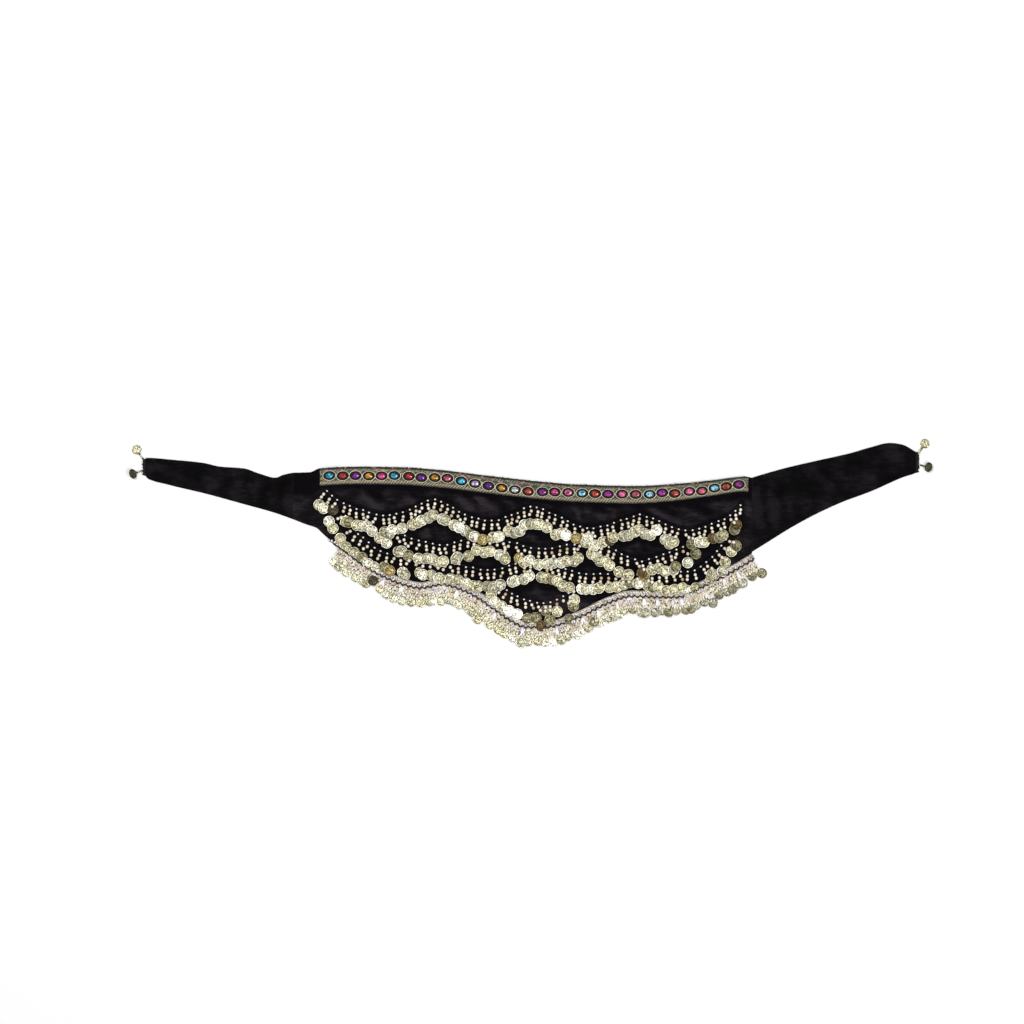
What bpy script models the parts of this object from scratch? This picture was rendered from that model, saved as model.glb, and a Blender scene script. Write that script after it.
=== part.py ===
"""A belly dance hip scarf, laid flat: a black velvet crescent with two ties, a jewelled braid along its
waist edge, four scalloped garlands of beads and coins, and a crocheted hem with a coin fringe.

Metres, +Z up from the surface that the scarf lies on. +X runs from the left tie to the right one and
+Y runs towards the waist edge. The tables are in millimetres.
"""

import math
from collections import namedtuple

import bmesh
import bpy
import numpy as np
from mathutils import Vector

MM = 0.001
COLLECTION = "hip_scarf"

# Cloth
CLOTH = 1.8  # thickness of the velvet wall
GAP = 0.3  # between two pieces that touch
FOLD_TAPER = 3.0  # a fold rises to its full height over this fraction of its length, from each end
SEWN_EDGE, SEWN_EASE = 4.0, 8.0  # how near to a sewn line the cloth is flat, and how slowly it lifts
PANEL_CELLS = (88, 20)  # cells along and across the cloth
TIE_CELLS = (26, 10)
FLAT_ANGLE = math.radians(0.5)  # faces flatter to each other than this are one face
LEVEL_MATCH = 1e-4

# Braid and its stones
BRAID_THICK = 1.2
BRAID_LEFT, BRAID_RIGHT = -386.0, 393.0
BRAID_TOP, STONE_LINE, BRAID_FOOT = 4.0, 14.2, 31.8  # distances below the waist edge
STONE_COUNT = 32
STONE_FIRST, STONE_LAST = -365.0, 378.3
STONE_HALF = (11.0, 9.0)  # the oval gold ring round a stone
STONE_CORNER = 0.76  # how far an oval's corner points lie from its middle, as a share of its box
RING_HIGH, STONE_HIGH = 1.3, 3.4

# Garlands and hem
STRIP_WIDE, STRIP_THICK = 3.0, 1.0
STRIP_LEVEL = CLOTH + GAP
STRIP_STEPS = 12  # arc length is measured in this many steps for each strand
SLOPE_STEP = 0.5  # a line's slope at a point is taken this far to each side of it
COIN_TILT = 0.12  # slope of a coin across its strand, where it laps over its neighbour
COIN_THICK = 0.5
COIN_DROP = 0.5  # how much lower a coin may lie than the neighbour that it laps over
COIN_ROOM = 6.0  # a coin starts to rise this far before it passes onto a lower strip
HEM_WIDE, HEM_THICK = 10.2, 1.3  # the crocheted band between the velvet and the fringe
HEM_GAP = 0.8  # between the velvet's edge and that band
HEM_TAPER = 30.0  # length over which that band widens from nothing at the left end
HEM_COUNT = 64
END_THICK, END_WIDE = 3.0, 4.5  # the gathered end of a tie
END_FACES = 3
END_WAVES, END_WAVE = 3, 0.6  # the bulges of that end: how many, and how deep
DANGLE_BEADS = 6.0  # from a dangle's root to its beads
GARLAND_COUNTS = (66, 44, 58, 14)

Edge = namedtuple("Edge", "x y")
Station = namedtuple("Station", "x y lean")
Fold = namedtuple("Fold", "x0 y0 x1 y1 half_width height")
# Distances from a strand's root to its beads and to its coin's near edge, middle and far edge; then widths
Strand = namedtuple("Strand", "beads near middle far bead_wide bead_high coin_wide edge_wide")
# A dangle at a tie's end: which face of the end it grows from, its lean, and its coin
Dangle = namedtuple("Dangle", "face lean middle coin_wide coin_long")

WAIST_EDGE = [
    Edge(-431, 128),
    Edge(-400, 129),
    Edge(-382, 136),
    Edge(-310, 139),
    Edge(-237, 138),
    Edge(-165, 133),
    Edge(-74, 122),
    Edge(16, 112),
    Edge(80, 107),
    Edge(186, 104),
    Edge(252, 107),
    Edge(324, 114),
    Edge(388, 121),
    Edge(400, 119),
]
LEFT_TIE_TOP = [
    Edge(-700, 149),
    Edge(-696, 155),
    Edge(-643, 151),
    Edge(-594, 146),
    Edge(-561, 139),
    Edge(-520, 136),
    Edge(-493, 127),
    Edge(-462, 119),
    Edge(-449, 124),
    Edge(-431, 128),
]
LEFT_TIE_FOOT = [
    Edge(-700, 126),
    Edge(-693, 117),
    Edge(-655, 106),
    Edge(-592, 91),
    Edge(-515, 70),
    Edge(-465, 56),
    Edge(-431, 44),
]
LEFT_CORNER = [
    Edge(-431, 44),
    Edge(-408, 35),
    Edge(-388, 28),
    Edge(-377, 18),
    Edge(-368, 10),
]
RIGHT_TIE_TOP = [
    Edge(400, 119),
    Edge(416, 124),
    Edge(462, 137),
    Edge(518, 150),
    Edge(576, 163),
    Edge(614, 174),
    Edge(650, 182),
    Edge(672, 179),
    Edge(688, 171),
    Edge(699, 164),
]
RIGHT_TIE_FOOT = [
    Edge(400, -15),
    Edge(424, 0),
    Edge(469, 28),
    Edge(513, 52),
    Edge(563, 75),
    Edge(614, 94),
    Edge(676, 121),
    Edge(692, 126),
    Edge(699, 130),
]

# Stations of each garland's line of anchor beads; lean is in degrees from straight down, +X positive
GARLAND_A = [
    Station(-373, 99, -27),
    Station(-357, 84, -22),
    Station(-336, 71, -14),
    Station(-310, 62, -8),
    Station(-264, 50, 0),
    Station(-221, 60, 4),
    Station(-179, 79, 0),
    Station(-144, 68, -5),
    Station(-124, 54, -4),
    Station(-69, 41, 0),
    Station(-26, 55, 5),
    Station(0, 68, 0),
    Station(41, 53, -5),
    Station(102, 28, 0),
    Station(176, 45, 4),
    Station(197, 52, 0),
    Station(215, 47, -3),
    Station(281, 24, 0),
    Station(350, 45, 9),
    Station(368, 58, 18),
    Station(382, 74, 28),
]
GARLAND_B = [
    Station(-272, 28, -6),
    Station(-221, 11, -5),
    Station(-161, -3, 0),
    Station(-81, 16, 3),
    Station(-31, 1, -3),
    Station(19, -9, 0),
    Station(74, -1, 3),
    Station(107, 5, 0),
    Station(140, -6, -8),
    Station(179, -26, -10),
    Station(200, -32, 0),
    Station(224, -25, 5),
    Station(268, -9, 8),
    Station(280, -1, 10),
]
GARLAND_C = [
    Station(-339, 56, -52),
    Station(-319, 24, -50),
    Station(-300, 7, -34),
    Station(-271, -15, -14),
    Station(-257, -19, -8),
    Station(-186, -27, 0),
    Station(-150, -33, -3),
    Station(-78, -48, 0),
    Station(-58, -46, 2),
    Station(-36, -38, 2),
    Station(12, -33, 0),
    Station(107, -56, 0),
    Station(125, -55, 0),
    Station(197, -55, 0),
    Station(283, -52, 8),
    Station(324, -28, 30),
    Station(340, -10, 42),
    Station(355, 12, 48),
]
GARLAND_D = [
    Station(-66, -62, -20),
    Station(-25, -97, -16),
    Station(22, -108, 0),
    Station(58, -97, 14),
    Station(81, -77, 22),
]
HEM_LINE = [
    Station(-367, 6, 0),
    Station(-345, -9, -22),
    Station(-291, -48, -30),
    Station(-233, -74, -20),
    Station(-201, -81, -4),
    Station(-160, -75, 3),
    Station(-121, -86, -12),
    Station(-60, -124, -28),
    Station(-44, -136, -24),
    Station(-7, -152, -6),
    Station(25, -152, 4),
    Station(90, -132, 14),
    Station(140, -108, 12),
    Station(181, -96, 2),
    Station(261, -98, 6),
    Station(322, -73, 20),
    Station(379, -43, 24),
    Station(404, -28, 32),
]

GARLAND_STRAND = Strand(9.0, 20.0, 29.8, 39.2, 5.4, 3.6, 20.0, 9.5)
HEM_STRAND = Strand(8.0, 17.5, 26.0, 35.0, 9.5, 2.0, 18.5, 9.0)

PANEL_FOLDS = [
    Fold(-310, 100, -262, 66, 11, 2.4),
    Fold(-226, 92, -204, 74, 9, 1.6),
    Fold(-132, 94, -96, 58, 11, 2.6),
    Fold(-98, 94, -48, 58, 11, 2.2),
    Fold(-46, 84, -22, 66, 9, 1.6),
    Fold(18, 76, 42, 68, 8, 1.6),
    Fold(84, 68, 94, 44, 9, 1.6),
    Fold(112, 66, 142, 46, 9, 1.8),
    Fold(212, 70, 274, 42, 10, 2.4),
    Fold(284, 66, 330, 46, 10, 2.0),
    Fold(-186, 32, -178, 6, 8, 1.6),
    Fold(-18, 30, 22, 2, 9, 1.8),
    Fold(196, 6, 204, -16, 8, 1.5),
]
LEFT_TIE_FOLDS = [
    Fold(-452, 116, -468, 70, 12, 3.0),
    Fold(-478, 118, -500, 80, 11, 2.4),
    Fold(-548, 128, -562, 92, 12, 2.0),
    Fold(-684, 146, -610, 118, 11, 3.2),
    Fold(-686, 126, -626, 108, 9, 2.2),
]
RIGHT_TIE_FOLDS = [
    Fold(412, 108, 424, 12, 11, 3.4),
    Fold(440, 118, 454, 30, 12, 3.0),
    Fold(508, 138, 566, 92, 12, 2.6),
    Fold(584, 148, 634, 116, 11, 2.2),
    Fold(686, 150, 622, 150, 12, 3.4),
    Fold(684, 134, 640, 122, 9, 2.4),
]

LEFT_DANGLES = [
    Dangle(0, -78, 16.2, 18.5, 12.7),
    Dangle(2, -159, 23.8, 18.0, 18.0),
]
RIGHT_DANGLES = [
    Dangle(0, 98, 17.3, 18.5, 12.7),
    Dangle(2, 160, 20.0, 18.0, 18.0),
]
LEFT_END = (125.0, 152.0)  # the y of the foot and the top of each gathered end
RIGHT_END = (130.0, 164.0)


# ---------------------------------------------------------------- curves and heights

def smooth(rows, column="y"):
    """A smooth function of x through one column of a table, a cubic from each row to the next."""
    xs = np.array([row.x for row in rows], float)
    ys = np.array([getattr(row, column) for row in rows], float)
    steps = np.diff(ys) / np.diff(xs)
    before, after = steps[:-1], steps[1:]
    same_way = before * after > 0
    shared = 2 * before * after / np.where(same_way, before + after, 1.0)
    # A row that is a peak or a dip is level, so that the curve never swings past its rows.
    slopes = np.concatenate([steps[:1], np.where(same_way, shared, 0.0), steps[-1:]])

    def value(x):
        i = int(np.clip(np.searchsorted(xs, x, side="right") - 1, 0, len(xs) - 2))
        span = xs[i + 1] - xs[i]
        t = (x - xs[i]) / span
        start = (1 + 2 * t) * (1 - t) ** 2 * ys[i] + t * (1 - t) ** 2 * span * slopes[i]
        end = t * t * (3 - 2 * t) * ys[i + 1] + t * t * (t - 1) * span * slopes[i + 1]
        return start + end

    return value


def ease(value):
    """A share from 0 to 1, eased at both ends."""
    share = min(max(value, 0.0), 1.0)
    return share * share * (3 - 2 * share)


def held_flat(x, y, lines):
    """0 where the cloth is held flat under the braid, a sewn line or its coins, up to 1 clear of them."""
    free = 1.0
    for top, foot in lines:
        inside = min(max(x, top[0].x), top[-1].x)
        upper = smooth(top)(inside) + SEWN_EDGE
        lower = upper - foot
        away = max(y - upper, lower - y, abs(x - inside))
        free = min(free, ease(away / SEWN_EASE))
    return free


def fold_height(x, y, folds):
    """How far the cloth stands off the surface: 0, or the rounded crest of a fold that tapers at its ends."""
    highest = 0.0
    for fold in folds:
        start = Vector((fold.x0, fold.y0))
        run = Vector((fold.x1, fold.y1)) - start
        offset = Vector((x, y)) - start
        along = offset.dot(run) / run.length_squared
        across = abs(offset.cross(run)) / run.length
        if 0 < along < 1 and across < fold.half_width:
            crest = math.cos(math.pi / 2 * across / fold.half_width) ** 2
            taper = ease(FOLD_TAPER * along) * ease(FOLD_TAPER * (1 - along))
            highest = max(highest, fold.height * crest * taper)
    return highest


def spread_along(rows, count):
    """The x of count + 1 points that divide a table's line into lengths that are equal."""
    line = smooth(rows)
    xs = np.linspace(rows[0].x, rows[-1].x, count * STRIP_STEPS)
    ys = np.array([line(x) for x in xs])
    run = np.concatenate([[0.0], np.cumsum(np.hypot(np.diff(xs), np.diff(ys)))])
    return np.interp(np.linspace(0, run[-1], count + 1), run, xs)


def inner_side(rows, x, distance):
    """The point at a distance square to a table's line, on its waist side."""
    line = smooth(rows)
    rise = line(x + SLOPE_STEP) - line(x - SLOPE_STEP)
    length = math.hypot(2 * SLOPE_STEP, rise)
    return x - rise / length * distance, line(x) + 2 * SLOPE_STEP / length * distance


def hem_width(x):
    """Width of the crocheted band, which starts as a point at the left end."""
    return 1.0 + (HEM_WIDE - 1.0) * ease((x - HEM_LINE[0].x) / HEM_TAPER)


def panel_foot():
    """The velvet's lower edge: round the left corner, then along the inner side of the crocheted band."""
    xs = spread_along(HEM_LINE, PANEL_CELLS[0])
    hem = [Edge(*inner_side(HEM_LINE, x, hem_width(x) + HEM_GAP)) for x in xs]
    after = [row for row in hem if LEFT_CORNER[-1].x + HEM_WIDE < row.x < WAIST_EDGE[-1].x]
    end = smooth(hem)(WAIST_EDGE[-1].x)
    return LEFT_CORNER + after + [Edge(WAIST_EDGE[-1].x, end)]


# ---------------------------------------------------------------- Blender helpers

def clear_scene():
    for obj in list(bpy.data.objects):
        bpy.data.objects.remove(obj, do_unlink=True)


def material(name, colour, roughness, metallic=0.0):
    made = bpy.data.materials.new(name)
    made.use_nodes = True
    shader = made.node_tree.nodes["Principled BSDF"]
    shader.inputs["Base Color"].default_value = (*colour, 1.0)
    shader.inputs["Roughness"].default_value = roughness
    shader.inputs["Metallic"].default_value = metallic
    made.diffuse_color = (*colour, 1.0)
    return made


def finish_object(bm, name, surface):
    """Turns a mesh that was built in millimetres into a named object of the scarf, in metres."""
    bmesh.ops.scale(bm, vec=(MM, MM, MM), verts=bm.verts)
    mesh = bpy.data.meshes.new(name)
    bm.to_mesh(mesh)
    bm.free()
    mesh.materials.append(surface)
    obj = bpy.data.objects.new(name, mesh)
    bpy.data.collections[COLLECTION].objects.link(obj)
    return obj


def placed_grid(columns, rows, place):
    """A grid whose point at shares (u, v) of its length and width is moved to place(u, v)."""
    bm = bmesh.new()
    bmesh.ops.create_grid(bm, x_segments=columns, y_segments=rows, size=0.5)
    share = bm.verts.layers.float_vector.new("share")
    for vert in bm.verts:
        vert[share] = (vert.co.x + 0.5, vert.co.y + 0.5, 0.0)
        vert.co = place(vert[share].x, vert[share].y)
    return bm


def close_onto(bm, level):
    """Closes an open surface into a solid by walls down to a flat foot at a level."""
    made = bmesh.ops.extrude_face_region(bm, geom=bm.faces[:])
    foot = [item for item in made["geom"] if isinstance(item, bmesh.types.BMVert)]
    for vert in foot:
        vert.co.z = level
    bmesh.ops.recalc_face_normals(bm, faces=bm.faces)


def join_flat(bm, level):
    """Joins the faces that lie flat at a level into one, and leaves the rim of that flat as it is."""
    flat = {face for face in bm.faces if all(abs(v.co.z - level) < LEVEL_MATCH for v in face.verts)}
    inner = [edge for edge in bm.edges if len(edge.link_faces) == 2 and flat.issuperset(edge.link_faces)]
    bmesh.ops.dissolve_limit(bm, angle_limit=FLAT_ANGLE, verts=[], edges=inner)


def outer_walls(bm):
    """The wall faces along the v = 0 side of a closed grid, in the order of u."""
    share = bm.verts.layers.float_vector["share"]
    walls = [face for face in bm.faces if all(vert[share].y < LEVEL_MATCH for vert in face.verts)]
    return sorted(walls, key=lambda face: sum(vert[share].x for vert in face.verts))


# ---------------------------------------------------------------- cloth

def cloth(name, top_rows, foot_rows, folds, sewn, cells, surface):
    """A velvet wall between two edges, with its folds, thickened upwards from the surface it lies on."""
    top, foot = smooth(top_rows), smooth(foot_rows)
    left, right = top_rows[0].x + GAP / 2, top_rows[-1].x - GAP / 2

    def place(u, v):
        x = left + (right - left) * u
        y = foot(x) + (top(x) - foot(x)) * v
        height = fold_height(x, y, folds)
        return Vector((x, y, height * held_flat(x, y, sewn) if height else 0.0))

    bm = placed_grid(*cells, place)
    join_flat(bm, 0.0)
    obj = finish_object(bm, name, surface)
    wall = obj.modifiers.new("wall", "SOLIDIFY")
    wall.thickness = CLOTH * MM
    wall.offset = 1.0
    return obj


# ---------------------------------------------------------------- braid

def jewel_braid(surface):
    """The braid lies on the velvet below the waist edge, with its oval stones raised in its outer side."""
    waist = smooth(WAIST_EDGE)
    pitch = (STONE_LAST - STONE_FIRST) / (STONE_COUNT - 1)
    half_x, half_y = STONE_HALF
    base = CLOTH + GAP
    # Four columns of points to a stone: one between two stones, then the stone's left, middle and right.
    columns = 4 * STONE_COUNT
    rows = [STONE_LINE - BRAID_FOOT, -half_y, 0.0, half_y, STONE_LINE - BRAID_TOP]

    def place(u, v):
        stone, step = divmod(round(u * columns), 4)
        row = round(v * (len(rows) - 1))
        shift, rise, narrow = step - 2, rows[row], 1.0
        height = base + BRAID_THICK
        if step and 0 < row < len(rows) - 1:
            narrow = STONE_CORNER if shift and row != 2 else 1.0
            height += RING_HIGH if shift or row != 2 else STONE_HIGH
        between = -pitch / 2 if step == 0 else shift * half_x * narrow
        x = {0.0: BRAID_LEFT, 1.0: BRAID_RIGHT}.get(u, STONE_FIRST + stone * pitch + between)
        return Vector((x, waist(x) - STONE_LINE + rise * narrow, height))

    bm = placed_grid(columns, len(rows) - 1, place)
    close_onto(bm, base)
    join_flat(bm, base)
    return finish_object(bm, "jewel_braid", surface)


# ---------------------------------------------------------------- strands of beads and coins

def add_ring(bm, face, corners, centre, across, wide, tilt, thick):
    """Extrudes a face and sets the four points of its copy round a centre; returns the copy."""
    made = bmesh.ops.extrude_discrete_faces(bm, faces=[face])["faces"][0]
    for vert, (side, up) in zip(made.verts, corners):
        offset = across * (side * wide / 2)
        vert.co = centre + offset + Vector((0, 0, up * thick / 2 - side * wide / 2 * tilt))
    return made


def add_strand(bm, face, root, lean, strand, level, coin_level):
    """Grows one four-sided strand from a face: its large beads on a level, then the flat coin at its end."""
    down = Vector((math.sin(math.radians(lean)), -math.cos(math.radians(lean)), 0.0))
    across = Vector((-down.y, down.x, 0.0))
    middle = face.calc_center_median()
    corners = [
        (
            math.copysign(1, (vert.co - middle).dot(across)),
            math.copysign(1, vert.co.z - middle.z),
        )
        for vert in face.verts
    ]
    sections = [
        (strand.beads, strand.bead_wide, 0.0, strand.bead_high, level + strand.bead_high / 2),
        (strand.near, strand.edge_wide, COIN_TILT, COIN_THICK, coin_level),
        (strand.middle, strand.coin_wide, COIN_TILT, COIN_THICK, coin_level),
        (strand.far, strand.edge_wide, COIN_TILT, COIN_THICK, coin_level),
    ]
    for distance, wide, tilt, thick, height in sections:
        centre = root + down * distance
        centre.z = height
        face = add_ring(bm, face, corners, centre, across, wide, tilt, thick)


def reach_over(x, foot_y, lower_lines):
    """0 where a coin lies on the cloth, up to 1 where its foot has passed onto the beads of a lower line."""
    most = 0.0
    for rows in lower_lines:
        inside = min(max(x, rows[0].x), rows[-1].x)
        if abs(x - inside) < GARLAND_STRAND.near:
            line = smooth(rows)(inside)
            passed = line + STRIP_WIDE / 2 - foot_y
            if passed < GARLAND_STRAND.far + GARLAND_STRAND.near:
                most = max(most, ease((passed + COIN_ROOM) / (GARLAND_STRAND.beads + COIN_ROOM)))
    return most


def resting(level, wide):
    """The height of the middle of a coin whose lower edge rests at a level."""
    return level + COIN_TILT * wide / 2 + COIN_THICK / 2


def coin_levels(points, leans, lower_lines):
    """The height of each coin's middle. A coin laps over its left neighbour, so it can't lie much lower."""
    low = resting(STRIP_LEVEL + GAP, GARLAND_STRAND.coin_wide)
    high = resting(STRIP_LEVEL + GARLAND_STRAND.bead_high + GAP, GARLAND_STRAND.coin_wide)
    levels = []
    for (x, y), lean in zip(points, leans):
        foot_x = x + math.sin(math.radians(lean)) * GARLAND_STRAND.middle
        foot_y = y - math.cos(math.radians(lean)) * GARLAND_STRAND.far
        level = low + (high - low) * reach_over(foot_x, foot_y, lower_lines)
        if levels:
            level = max(level, levels[-1] - COIN_DROP)
        levels.append(level)
    return levels


def strip(rows, count, wide_at, offset, level, thick):
    """A narrow closed strip along a table's line, one face long for each of its strands."""
    ends = spread_along(rows, count)

    def place(u, v):
        x = ends[round(u * count)]
        return Vector((*inner_side(rows, x, offset + v * wide_at(x)), level + thick))

    bm = placed_grid(count, 1, place)
    close_onto(bm, level)
    return bm, (ends[:-1] + ends[1:]) / 2


def garland(name, rows, count, lower_lines, surface):
    """One scalloped garland: a narrow strip on the velvet with a strand of beads and a coin at each pitch."""
    bm, xs = strip(rows, count, lambda x: STRIP_WIDE, -STRIP_WIDE / 2, STRIP_LEVEL, STRIP_THICK)
    line, lean_at = smooth(rows), smooth(rows, "lean")
    points = [(x, line(x)) for x in xs]
    leans = [lean_at(x) for x in xs]
    levels = coin_levels(points, leans, lower_lines)
    for wall, (x, y), lean, level in zip(outer_walls(bm), points, leans, levels):
        add_strand(bm, wall, Vector((x, y, 0.0)), lean, GARLAND_STRAND, STRIP_LEVEL, level)
    return finish_object(bm, name, surface)


def hem(surface):
    """The crocheted band beside the velvet's lower edge, with the fringe that hangs from it, on the floor."""
    bm, xs = strip(HEM_LINE, HEM_COUNT, hem_width, 0.0, GAP, HEM_THICK)
    line, lean_at = smooth(HEM_LINE), smooth(HEM_LINE, "lean")
    coin_level = resting(GAP, HEM_STRAND.coin_wide)
    for wall, x in zip(outer_walls(bm), xs):
        root = Vector((x, line(x), 0.0))
        add_strand(bm, wall, root, lean_at(x), HEM_STRAND, GAP, coin_level)
    return finish_object(bm, "hem_fringe", surface)


def tie_end(name, end_x, outward, foot_top, dangles, surface):
    """The gathered, overstitched end of a tie, with its two dangles, each a bead chain and a coin."""
    foot, top = foot_top

    def place(u, v):
        wave = END_WAVE * math.sin(END_WAVES * math.pi * u)
        x = end_x + outward * (GAP / 2 + (1 - v) * (END_WIDE + wave))
        return Vector((x, foot + (top - foot) * u, GAP + END_THICK))

    bm = placed_grid(END_FACES, 1, place)
    close_onto(bm, GAP)
    walls = outer_walls(bm)
    for dangle in dangles:
        wall = walls[dangle.face]
        root = wall.calc_center_median()
        half = dangle.coin_long / 2
        strand = Strand(
            DANGLE_BEADS,
            dangle.middle - half,
            dangle.middle,
            dangle.middle + half,
            GARLAND_STRAND.bead_wide,
            GARLAND_STRAND.bead_high,
            dangle.coin_wide,
            dangle.coin_wide / 2,
        )
        add_strand(bm, wall, root, dangle.lean, strand, GAP, resting(GAP, dangle.coin_wide))
    return finish_object(bm, name, surface)


def main():
    clear_scene()
    scarf = bpy.data.collections.new(COLLECTION)
    bpy.context.scene.collection.children.link(scarf)

    velvet = material("black_velvet", (0.012, 0.010, 0.013), 0.85)
    tie_velvet = material("tie_velvet", (0.009, 0.008, 0.010), 0.85)
    metallic = material("metallic_braid", (0.42, 0.33, 0.17), 0.40, 0.6)
    coins = material("champagne_coins", (0.72, 0.68, 0.50), 0.30, 0.9)
    crochet = material("beaded_crochet", (0.82, 0.74, 0.66), 0.45)
    thread = material("black_overstitch", (0.02, 0.02, 0.02), 0.7)

    reach = GARLAND_STRAND.far + 2 * SEWN_EDGE
    sewn = [(WAIST_EDGE, BRAID_FOOT + 2 * SEWN_EDGE)]
    sewn += [(rows, reach) for rows in (GARLAND_A, GARLAND_B, GARLAND_C)]
    cloth("centre_panel", WAIST_EDGE, panel_foot(), PANEL_FOLDS, sewn, PANEL_CELLS, velvet)
    cloth("tie_left", LEFT_TIE_TOP, LEFT_TIE_FOOT, LEFT_TIE_FOLDS, [], TIE_CELLS, tie_velvet)
    cloth("tie_right", RIGHT_TIE_TOP, RIGHT_TIE_FOOT, RIGHT_TIE_FOLDS, [], TIE_CELLS, tie_velvet)
    jewel_braid(metallic)
    tables = [GARLAND_A, GARLAND_B, GARLAND_C, GARLAND_D]
    for index, (letter, rows, count) in enumerate(zip("abcd", tables, GARLAND_COUNTS)):
        garland(f"garland_{letter}", rows, count, tables[index + 1:], coins)
    hem(crochet)
    tie_end("tie_end_left", LEFT_TIE_TOP[0].x, -1, LEFT_END, LEFT_DANGLES, thread)
    tie_end("tie_end_right", RIGHT_TIE_TOP[-1].x, 1, RIGHT_END, RIGHT_DANGLES, thread)


main()
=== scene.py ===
"""The looks of a belly dance hip scarf that lies flat: velvet, a jewelled braid, coins, beads and crochet.

Metres, +Z up from the surface. +X runs from the left tie to the right one, +Y towards the waist edge.
The tables and the fields of the classes are in millimetres and degrees, as a maker would measure the scarf.
"""

import logging
import math
from dataclasses import dataclass, field
from enum import Enum
from typing import Any, Callable, NamedTuple, Sequence

import bmesh
import bpy
import numpy as np
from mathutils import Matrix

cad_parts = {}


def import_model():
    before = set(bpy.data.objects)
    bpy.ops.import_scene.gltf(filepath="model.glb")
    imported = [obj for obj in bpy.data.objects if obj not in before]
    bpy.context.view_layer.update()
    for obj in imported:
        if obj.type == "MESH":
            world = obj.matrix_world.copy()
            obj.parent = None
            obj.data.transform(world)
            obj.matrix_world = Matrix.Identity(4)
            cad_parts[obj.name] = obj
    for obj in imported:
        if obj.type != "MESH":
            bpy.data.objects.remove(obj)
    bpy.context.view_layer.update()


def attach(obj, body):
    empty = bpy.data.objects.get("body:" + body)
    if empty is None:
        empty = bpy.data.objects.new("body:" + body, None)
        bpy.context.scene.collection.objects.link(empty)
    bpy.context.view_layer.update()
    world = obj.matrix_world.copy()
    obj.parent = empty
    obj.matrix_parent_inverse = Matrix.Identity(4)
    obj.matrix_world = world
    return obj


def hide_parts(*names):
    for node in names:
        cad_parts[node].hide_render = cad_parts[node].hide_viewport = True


MM = 0.001
BODY = "root"
LOG = logging.getLogger("hip_scarf")

CLOTH = 1.8  # thickness of the velvet
GAP = 0.3  # between two layers
LEVEL = CLOTH + GAP  # what is sewn on the velvet starts here
RANDOM_SEED = 57

Array = np.ndarray
Tint = tuple[float, ...]


# ------------------------------------------------------------------ tables


class Edge(NamedTuple):
    """A point of the cloth's outline."""

    x: float
    y: float


class Station(NamedTuple):
    """A point of a sewn line, with the way its strands hang: degrees from straight down, +X positive."""

    x: float
    y: float
    lean: float


class Fold(NamedTuple):
    """A soft ridge in the cloth between two points."""

    x0: float
    y0: float
    x1: float
    y1: float
    half_width: float
    height: float

    def shares(self, x: Array, y: Array) -> tuple[Array, Array]:
        """Where points lie in the fold.

        Args:
            x: The points' x.
            y: The points' y.

        Returns:
            The share of its length along it, and of its half width across it, with a sign for the side.
        """
        run = np.array([self.x1 - self.x0, self.y1 - self.y0], float)
        length = math.hypot(*run)
        along = ((x - self.x0) * run[0] + (y - self.y0) * run[1]) / length**2
        across = ((x - self.x0) * run[1] - (y - self.y0) * run[0]) / length / self.half_width
        return along, across


class CoinTone(Enum):
    """A coin's tone, as the colour that its own metal is multiplied by, and its strength."""

    PLAIN = ("F6F2DC", 1.0)
    # most tones are how a coin has aged; PALE is a painted highlight and GLINT a painted glint, drawn blown
    # out white
    PALE = ("FFFDF4", 1.35)
    GLINT = ("FFFFFF", 2.4)
    OLIVE = ("CCC7A8", 0.66)
    BRASS = ("E0CB92", 0.78)
    UMBER = ("B59A6C", 0.42)
    DARK = ("8C8468", 0.34)


PLAIN, PALE, GLINT, OLIVE, BRASS, UMBER, DARK = CoinTone


class OddCoin(NamedTuple):
    """A coin that stands out from its row."""

    x: float  # of its root
    tone: CoinTone
    lower: float = 0.0  # how much further down it hangs than the others
    aside: float = 0.0  # how far it is pushed along the row, towards +X


def table(kind: Any, *rows: tuple) -> tuple:
    """Makes the rows of a table.

    Args:
        kind: What a row is.
        rows: The fields of each row.

    Returns:
        The rows.
    """
    return tuple(kind(*row) for row in rows)


WAIST_EDGE = table(
    Edge,
    (-431, 128), (-400, 129), (-382, 136), (-310, 139), (-237, 138), (-165, 133), (-74, 122),
    (16, 112), (80, 107), (186, 104), (252, 107), (324, 114), (388, 121), (400, 119),
)
LEFT_TIE_TOP = table(
    Edge,
    (-700, 149), (-696, 155), (-643, 151), (-594, 146), (-561, 139), (-520, 136), (-493, 127),
    (-462, 119), (-449, 124), (-431, 128),
)
LEFT_TIE_FOOT = table(
    Edge,
    (-700, 126), (-693, 117), (-655, 106), (-592, 91), (-515, 70), (-465, 56), (-431, 44),
)
LEFT_CORNER = table(
    Edge,
    (-431, 44), (-408, 35), (-388, 28), (-377, 18), (-368, 10),
)
RIGHT_TIE_TOP = table(
    Edge,
    (400, 119), (416, 124), (462, 137), (518, 150), (576, 163), (614, 174), (650, 182), (672, 179),
    (688, 171), (699, 164),
)
RIGHT_TIE_FOOT = table(
    Edge,
    (400, -15), (424, 0), (469, 28), (513, 52), (563, 75), (614, 94), (676, 121), (692, 126),
    (699, 130),
)
GARLAND_A = table(
    Station,
    (-373, 99, -27), (-357, 84, -22), (-336, 71, -14), (-310, 62, -8), (-264, 50, 0), (-221, 60, 4),
    (-179, 79, 0), (-144, 68, -5), (-124, 54, -4), (-69, 41, 0), (-26, 55, 5), (0, 68, 0), (41, 53, -5),
    (102, 28, 0), (176, 45, 4), (197, 52, 0), (215, 47, -3), (281, 24, 0), (350, 45, 9), (368, 58, 18),
    (382, 74, 28),
)
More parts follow.
